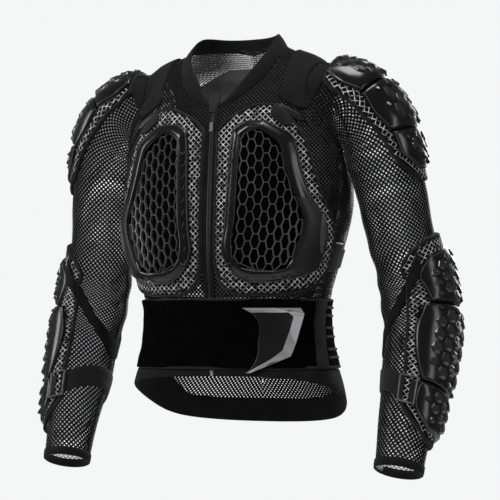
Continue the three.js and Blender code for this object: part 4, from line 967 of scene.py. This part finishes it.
def make_straps():
    for name, chest in CHEST.items():
        for kind, table, lift in (("strap", SHOULDER_STRAP, 3.4), ("yoke", SHOULDER_YOKE, 2.8)):
            cushion(f"{name}_shoulder_{kind}_cloth", SHOULDER[name], outline(table), lift, 1.8, STRETCH,
                    (f"{name}_shoulder_{kind}",), count=(16, 50))
        cushion(f"{name}_chest_tab_webbing", chest, outline(CHEST_TAB, BODY_LENGTH), PAD_RISE + 2.4, 1.5,
                WEBBING,
                (f"{name}_chest_tab",), low=PAD_RISE - 3, count=(10, 20))
        cushion(f"{name}_shoulder_buckle_body", chest, outline(SHOULDER_BUCKLE, BODY_LENGTH), 6, 1.5, PLASTIC,
                (f"{name}_shoulder_buckle",), count=(12, 24))
        make_wraps(name, SLEEVE[name])
        cushion(f"{name}_side_webbing", chest, outline(SIDE_STRAP, BODY_LENGTH), STRAP_RISE, 1.2, WEBBING,
                (f"{name}_side_strap",), count=(30, 8))
        cushion(f"{name}_side_buckle", chest, outline(SIDE_BUCKLE, BODY_LENGTH), 3.6, 1.5, PLASTIC,
                count=(14, 12))


def make_wraps(name, surface):
    """The straps round the inner side of the arm, over the edge of the forearm's pad"""
    pad_rows = outline(FOREARM_PAD, SLEEVE_LENGTH)
    across, rise = np.array([(-0.5, 0.2), (-0.44, 1.7), (-0.2, 2), (0, 2), (0.2, 2), (0.44, 1.7), (0.5,
                                                                                                   0.2)]).T
    for kind, nodes, middle, swing, ends, width, look in (
            ("elbow_webbing", ("elbow_strap",), 0.582, -0.135, (56, 296), 35, STRETCH),
            ("forearm_webbing", ("forearm_strap",), 0.832, 0.035, (86, 262), 40, WEBBING),
            ("forearm_tab", (), 0.832, 0.035, (62, 76), 38, WEBBING)):
        u = np.broadcast_to(np.linspace(*ends, 60)[:, None], (60, len(across)))
        v = (middle + swing * np.cos(np.radians(u))) * SLEEVE_LENGTH + across[None, :] * width
        lift = 1 + rise[None, :] + LIMB_RISE * step(-3, 5, margin(surface, pad_rows, u, v))
        top = surface.place(u, v, lift, True)
        piece(f"{name}_{kind}", top, grid_faces(*u.shape, flip=surface.outward < 0), look,
              [f"{name}_{part}" for part in nodes],
              uv=pairs(across[None, :] * width, lengths_along(top[:, 3])[:, None]))
    u, v = np.array([(66, 0.811), (77, 0.81), (92, 0.808), (92, 0.837), (92, 0.866), (77, 0.869), (66, 0.871),
                     (66, 0.84)]).T
    points, normals = surface.place(u, v * SLEEVE_LENGTH, LIMB_RISE + 4), surface.normal(u, v * SLEEVE_LENGTH)
    swept(f"{name}_forearm_buckle_wire", points, normals, half_round(3.6, -1.7, 1.9, 9), CELL,
          closed=True, nodes=(f"{name}_forearm_buckle",))


def body_top(x, y):
    """The height of the cloth over the shoulders at places in plan"""
    low, high = np.full(x.shape, -0.36 * BODY_LENGTH), np.full(x.shape, 0.068 * BODY_LENGTH)
    return bisected(low, high, lambda z: inside_body(np.stack([x, y, z], -1)))[0]


def make_collar():
    turn = np.radians(np.linspace(2.5, 357.5, 121))
    away = np.stack([np.sin(turn), -np.cos(turn)], -1)
    base = (0, NECK_MIDDLE) + away * (NECK_WIDTH / 2, NECK_DEPTH / 2)
    rim = (0, NECK_MIDDLE) + away * (COLLAR_TOP_WIDTH / 2, COLLAR_TOP_DEPTH / 2)
    low = body_top(base[:, 0], base[:, 1]) - 3
    high = curve(COLLAR_LINE[:, 0], COLLAR_LINE[:, 1], rim[:, 1])
    front = np.degrees(np.minimum(turn, 2 * np.pi - turn))
    high = low + 3 + (high - low - 3) * (0.12 + 0.88 * step(0, 50, front))
    section = [(0, 1.2), (0.12, 1.9), (0.3, 2.6), (0.5, 3), (0.7, 2.8), (0.88, 2), (0.97, 1.4), (1, 0.2),
               (0.97, -1.2), (0.8, -1.6), (0.5, -1.4), (0.2, -1.4), (0, -1.4)]
    rings = [np.concatenate([base + (rim - base) * share + away * out, (low + (high - low) * share)[:,
                                                                                                    None]], 1)
             for share, out in section]
    count = len(section)
    faces = grid_faces(len(turn), count, wrap=True)
    faces += [tuple(range(count)), tuple((len(turn) - 1) * count + i for i in range(count))[::-1]]
    piece("collar_band", np.stack(rings, 1), faces, STRETCH, ("collar",),
          uv=pairs(np.degrees(turn)[:, None] * 1.5, np.linspace(0, 60, count)[None, :]))


def make_fastening():
    v = np.linspace(-0.838 * BODY_LENGTH, -0.15 * BODY_LENGTH, 90)
    u = np.full(v.shape, 7.2 / (CHEST_WIDTH / 2 * math.radians(1)))
    half = [(0, 2.4), (1.9, 1.7), (2.4, 2.1), (3.4, 1.6), (3.6, -0.3)]
    profile = [(-across, up) for across, up in half[:0:-1]] + half
    for name, surface in CHEST.items():
        swept(f"{name}_placket_cloth", surface.place(u, v, 0.8), surface.normal(u, v), profile, STRETCH,
              nodes=(f"{name}_placket",))
    teeth, faces = [], []
    for k, z in enumerate(np.linspace(*ZIP_Z, ZIP_TEETH)):
        side = 1 if k % 2 else -1
        s = len(teeth)
        for dx, dy, dz in ((-1.9, -0.9, -0.7), (1.3, -0.9, -0.7), (1.3, -0.9, 0.7), (-1.9, -0.9, 0.7),
                           (-1.9, 0.6, -0.9), (1.3, 0.6, -0.9), (1.3, 0.6, 0.9), (-1.9, 0.6, 0.9)):
            teeth.append(BODY.place(0, z, 0.6) + np.array([dx * -side, dy, dz]))
        faces += [(s, s + 1, s + 2, s + 3), (s, s + 4, s + 5, s + 1), (s + 1, s + 5, s + 6, s + 2),
                  (s + 2, s + 6, s + 7, s + 3), (s + 3, s + 7, s + 4, s), (s + 4, s + 7, s + 6, s + 5)]
    piece("zip_teeth", teeth, faces, PLASTIC, ("zip_chain",), smooth=False)


def make_belt():
    flap, rest = (np.array([(z, start, end) for z in (BELT_BOTTOM, BELT_TOP)], float)
                  for start, end in ((BELT_FLAP_FROM, BELT_FLAP_TO), (BELT_FLAP_TO - 6, 270)))

    def rumple(u, v):
        return 0.5 * np.sin(v / 9 + u / 14) + 0.35 * np.sin(v / 5 - u / 9)

    cushion("belt_flap_velour", BODY, flap, BELT_RISE + 1.5, 1.6, VELOUR, ("belt_flap",), low=2.6,
            count=(110, 22), relief=rumple)
    cushion("kidney_belt_velour", BODY, rest, BELT_RISE - 0.6, 1.6, VELOUR, ("kidney_belt",),
            low=1.4,
            count=(120, 22), relief=rumple)
    for label, rows, lift in (("flap", flap, 3.2), ("belt", rest, 1.8)):
        for edge_name, z in (("top", BELT_TOP - 2), ("bottom", BELT_BOTTOM + 2)):
            u = np.linspace(rows[0, 1], rows[0, 2], 120)
            v = np.full(u.shape, z)
            swept(f"{label}_{edge_name}_binding", BODY.place(u, v, lift), BODY.normal(u, v), half_round(5, 0,
                                                                                                        2.4),
                  BINDING_CLOTH)


def make_belt_trim():
    """The stitched strip and the ribs at the belt's left side"""
    strip = np.array([(BELT_BOTTOM + 1, 63, 75.5), (BELT_TOP - 1, 69, 85)], float)
    cushion("belt_seam_strip", BODY, strip, BELT_RISE + 1.4, 1.4, BINDING_CLOTH, low=2, count=(12,
                                                                                                         30))
    for k, share in enumerate((0.12, 0.24, 0.42, 0.55, 0.73, 0.85), 1):
        u = np.linspace(86 - 9 * share, 112, 24)
        v = np.full(u.shape, BELT_TOP + (BELT_BOTTOM - BELT_TOP) * share)
        swept(f"belt_rib_{k}", BODY.place(u, v, 3.4), BODY.normal(u, v), half_round(4.4, 0, 2.2), RIB_CLOTH)


def make_badge():
    rows = outline(BADGE, BODY_LENGTH)
    cushion("badge_base_black", CHEST["left"], rows, BELT_RISE + 4.9, 2, BEVEL, ("badge_base",),
            low=4,
            count=(20, 40))


def make_hem():
    """The band round the hem, deep at the front and the sides, and the cuffs"""
    u = np.linspace(1.2, 358.8, 200)
    y = BODY.at(u, np.full(u.shape, -0.892 * BODY_LENGTH))[:, 1]
    low = hem_height(y)
    behind = step(60, 105, y)
    top = np.minimum((BELT_BOTTOM - 0.5) * (1 - behind) + (low + HEM_BAND) * behind, BELT_BOTTOM - 0.5)
    shares = np.array([0, 0, 0.06, 0.3, 0.6, 0.94, 1])
    lift = np.array([-1.2, 1.2, 2.2, 2.3, 2.3, 2, 0.4])
    v = low[:, None] + (top - low)[:, None] * shares[None, :]
    u = np.broadcast_to(u[:, None], v.shape)
    both = np.concatenate([BODY.place(u, v, lift, True), BODY.place(u[:, ::-1], v[:, ::-1], -1.2, True)], 1)
    piece("hem_cloth", both, grid_faces(*both.shape[:2]), STRETCH, ("hem_band",),
          uv=pairs(u[:, :1] * 3.4, np.linspace(0, 48, both.shape[1])[None, :]))
    turn = np.linspace(0, 360, 73)[:-1]
    section = ((0.98, 0.4), (0.981, 1.9), (0.99, 2.2), (0.998, 1.9), (1.0, 0), (0.998, -1.4), (0.98, -1.2))
    for name, surface in SLEEVE.items():
        rings = np.stack([surface.place(turn, share * SLEEVE_LENGTH, lift) for share, lift in section])
        piece(f"{name}_cuff_cloth", rings, grid_faces(*rings.shape[:2], wrap=True, flip=surface.outward < 0),
              STRETCH,
              (f"{name}_cuff",), uv=pairs(turn[None, :] * 0.7, np.array(section)[:, :1] * 300))


def seam(name, surface, u, v, lift, width, rise, folded=True, closed=False):
    """A covered seam along a line of (u, v) places"""
    swept(name, surface.place(u, v, lift, folded), surface.normal(u, v), half_round(width, 0, rise),
          BINDING_CLOTH,
          closed=closed)


def make_seams():
    turn = np.linspace(0, 360, 97)[:-1]
    t = np.linspace(0, 1, 30)
    chest_u = curve([0, 0.4, 1], [47.5, 55.5, 70.5], t)
    chest_v = curve([0, 0.4, 1], np.array([-0.181, -0.213, -0.262]) * BODY_LENGTH, t)
    for name, surface in SLEEVE.items():
        near, far = bisected(np.zeros(turn.shape), np.full(turn.shape, 170.0),
                             lambda reach: inside_body(surface.at(turn, reach)))
        seam(f"{name}_armhole_seam", surface, turn, near, 0.6, 7, 2.2, folded=False, closed=True)
        seam(f"{name}_chest_seam", CHEST[name], chest_u, chest_v, 0.5, 5.5, 1.8)
        v = np.linspace(far.max() + 4, SLEEVE_LENGTH - 18, 80)
        seam(f"{name}_sleeve_seam", surface, np.full(v.shape, 180.0), v, 0.4, 5, 1.4)


def make_stage():
    """A pale world that lights softly, and a plain pale floor"""
    world = bpy.data.worlds.new("studio")
    bpy.context.scene.world = world
    world.use_nodes = True
    tree = world.node_tree
    soft = tree.nodes["Background"]
    soft.inputs["Color"].default_value = (*grey(1.0), 1)
    soft.inputs["Strength"].default_value = STUDIO_LIGHT
    paper = node(tree, "ShaderNodeBackground", Color=(*PAPER, 1))
    rays = node(tree, "ShaderNodeLightPath")
    both = node(tree, "ShaderNodeMixShader")
    link(rays.outputs["Is Camera Ray"], both.inputs["Fac"])
    link(soft.outputs["Background"], both.inputs[1])
    link(paper.outputs["Background"], both.inputs[2])
    link(both.outputs["Shader"], tree.nodes["World Output"].inputs["Surface"])
    bpy.context.scene.view_settings.view_transform = "Standard"
    turn = np.linspace(0, 2 * np.pi, 65)[:-1]
    ring = pairs(FLOOR_RADIUS * np.cos(turn), FLOOR_RADIUS * np.sin(turn))
    mesh = bpy.data.meshes.new("floor")
    mesh.from_pydata([(x, y, cad_box[0].z - FLOOR_DROP) for x, y in ring.tolist()], [],
                     [tuple(range(len(turn)))])
    look, shader = new_material("floor_pale", PAPER, 0.9)
    grain = node(shader.id_data, "ShaderNodeTexNoise", Scale=3.0)
    mix_colours(shader, grain.outputs["Fac"], (0.84, 0.845, 0.85), PAPER)
    mesh.materials.append(look)
    floor = bpy.data.objects.new("floor", mesh)
    bpy.context.scene.collection.objects.link(floor)


def add_lamp(name, kind, place, power, **values):
    data = bpy.data.lights.new(name, kind)
    data.energy = power
    for key, value in values.items():
        setattr(data, key, value)
    made = bpy.data.objects.new(name, data)
    made.location = place
    made.visible_camera = False
    bpy.context.scene.collection.objects.link(made)
    return made


def add_light(name, place, aim, size, power):
    """A soft rectangular lamp that faces a point"""
    made = add_lamp(name, "AREA", place, power, shape="RECTANGLE", size=size[0], size_y=size[1])
    made.rotation_euler = (Vector(aim) - Vector(place)).to_track_quat("-Z", "Y").to_euler()


def make_camera():
    data = bpy.data.cameras.new("camera")
    data.lens = CAMERA_LENS
    data.sensor_width = 36
    made = bpy.data.objects.new("camera", data)
    made.location = (math.sin(CAMERA_AZIMUTH) * CAMERA_DISTANCE, -math.cos(CAMERA_AZIMUTH) * CAMERA_DISTANCE,
                     CAMERA_HEIGHT)
    heading = CAMERA_AZIMUTH - CAMERA_TURN
    look = Vector((-math.sin(heading) * math.cos(CAMERA_PITCH), math.cos(heading) * math.cos(CAMERA_PITCH),
                   math.sin(CAMERA_PITCH)))
    made.rotation_euler = look.to_track_quat("-Z", "Y").to_euler()
    bpy.context.scene.collection.objects.link(made)
    bpy.context.scene.camera = made


make_camera()
make_stage()
add_light("key", (-0.8, -2.2, 1.3), (0, 0, -0.3), (0.9, 0.7), 40)
add_light("strip_right", (2.3, -0.7, 0.2), (0, 0, -0.35), (0.5, 1.4), 9)
add_light("strip_left", (-2.1, -0.5, 0.1), (0, 0, -0.35), (0.3, 1.4), 13)
add_light("top", (0.4, -0.2, 2.0), (0, 0, -0.3), (1.0, 0.8), 26)
add_light("back", (0.3, 2.2, 0.3), (0, 0, -0.35), (1.6, 1.2), 24)
add_light("inside", (0, -0.03, -0.25), (0, 0.3, -0.22), (0.2, 0.3), 0.35)
for reach in range(130, 691, 70):
    for side in (1, -1):
        place = sleeve_middle(np.array(float(reach))) * (side * MM, MM, MM)
        add_lamp(f"glow_{reach}_{side}", "POINT", place, GLOW, shadow_soft_size=0.02)
make_mesh_cloth()
make_chest()
make_limb_armour()
make_back()
make_straps()
make_collar()
make_fastening()
make_belt()
make_belt_trim()
make_badge()
make_hem()
make_seams()

CAD_LOOKS = {"badge_trim": SILVER, "zip_stop": SILVER, "zip_garage": FLAP_CLOTH}
for cad_node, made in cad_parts.items():
    if not made.hide_render:
        made.data.materials.clear()
        made.data.materials.append(CAD_LOOKS.get(cad_node, PLASTIC))
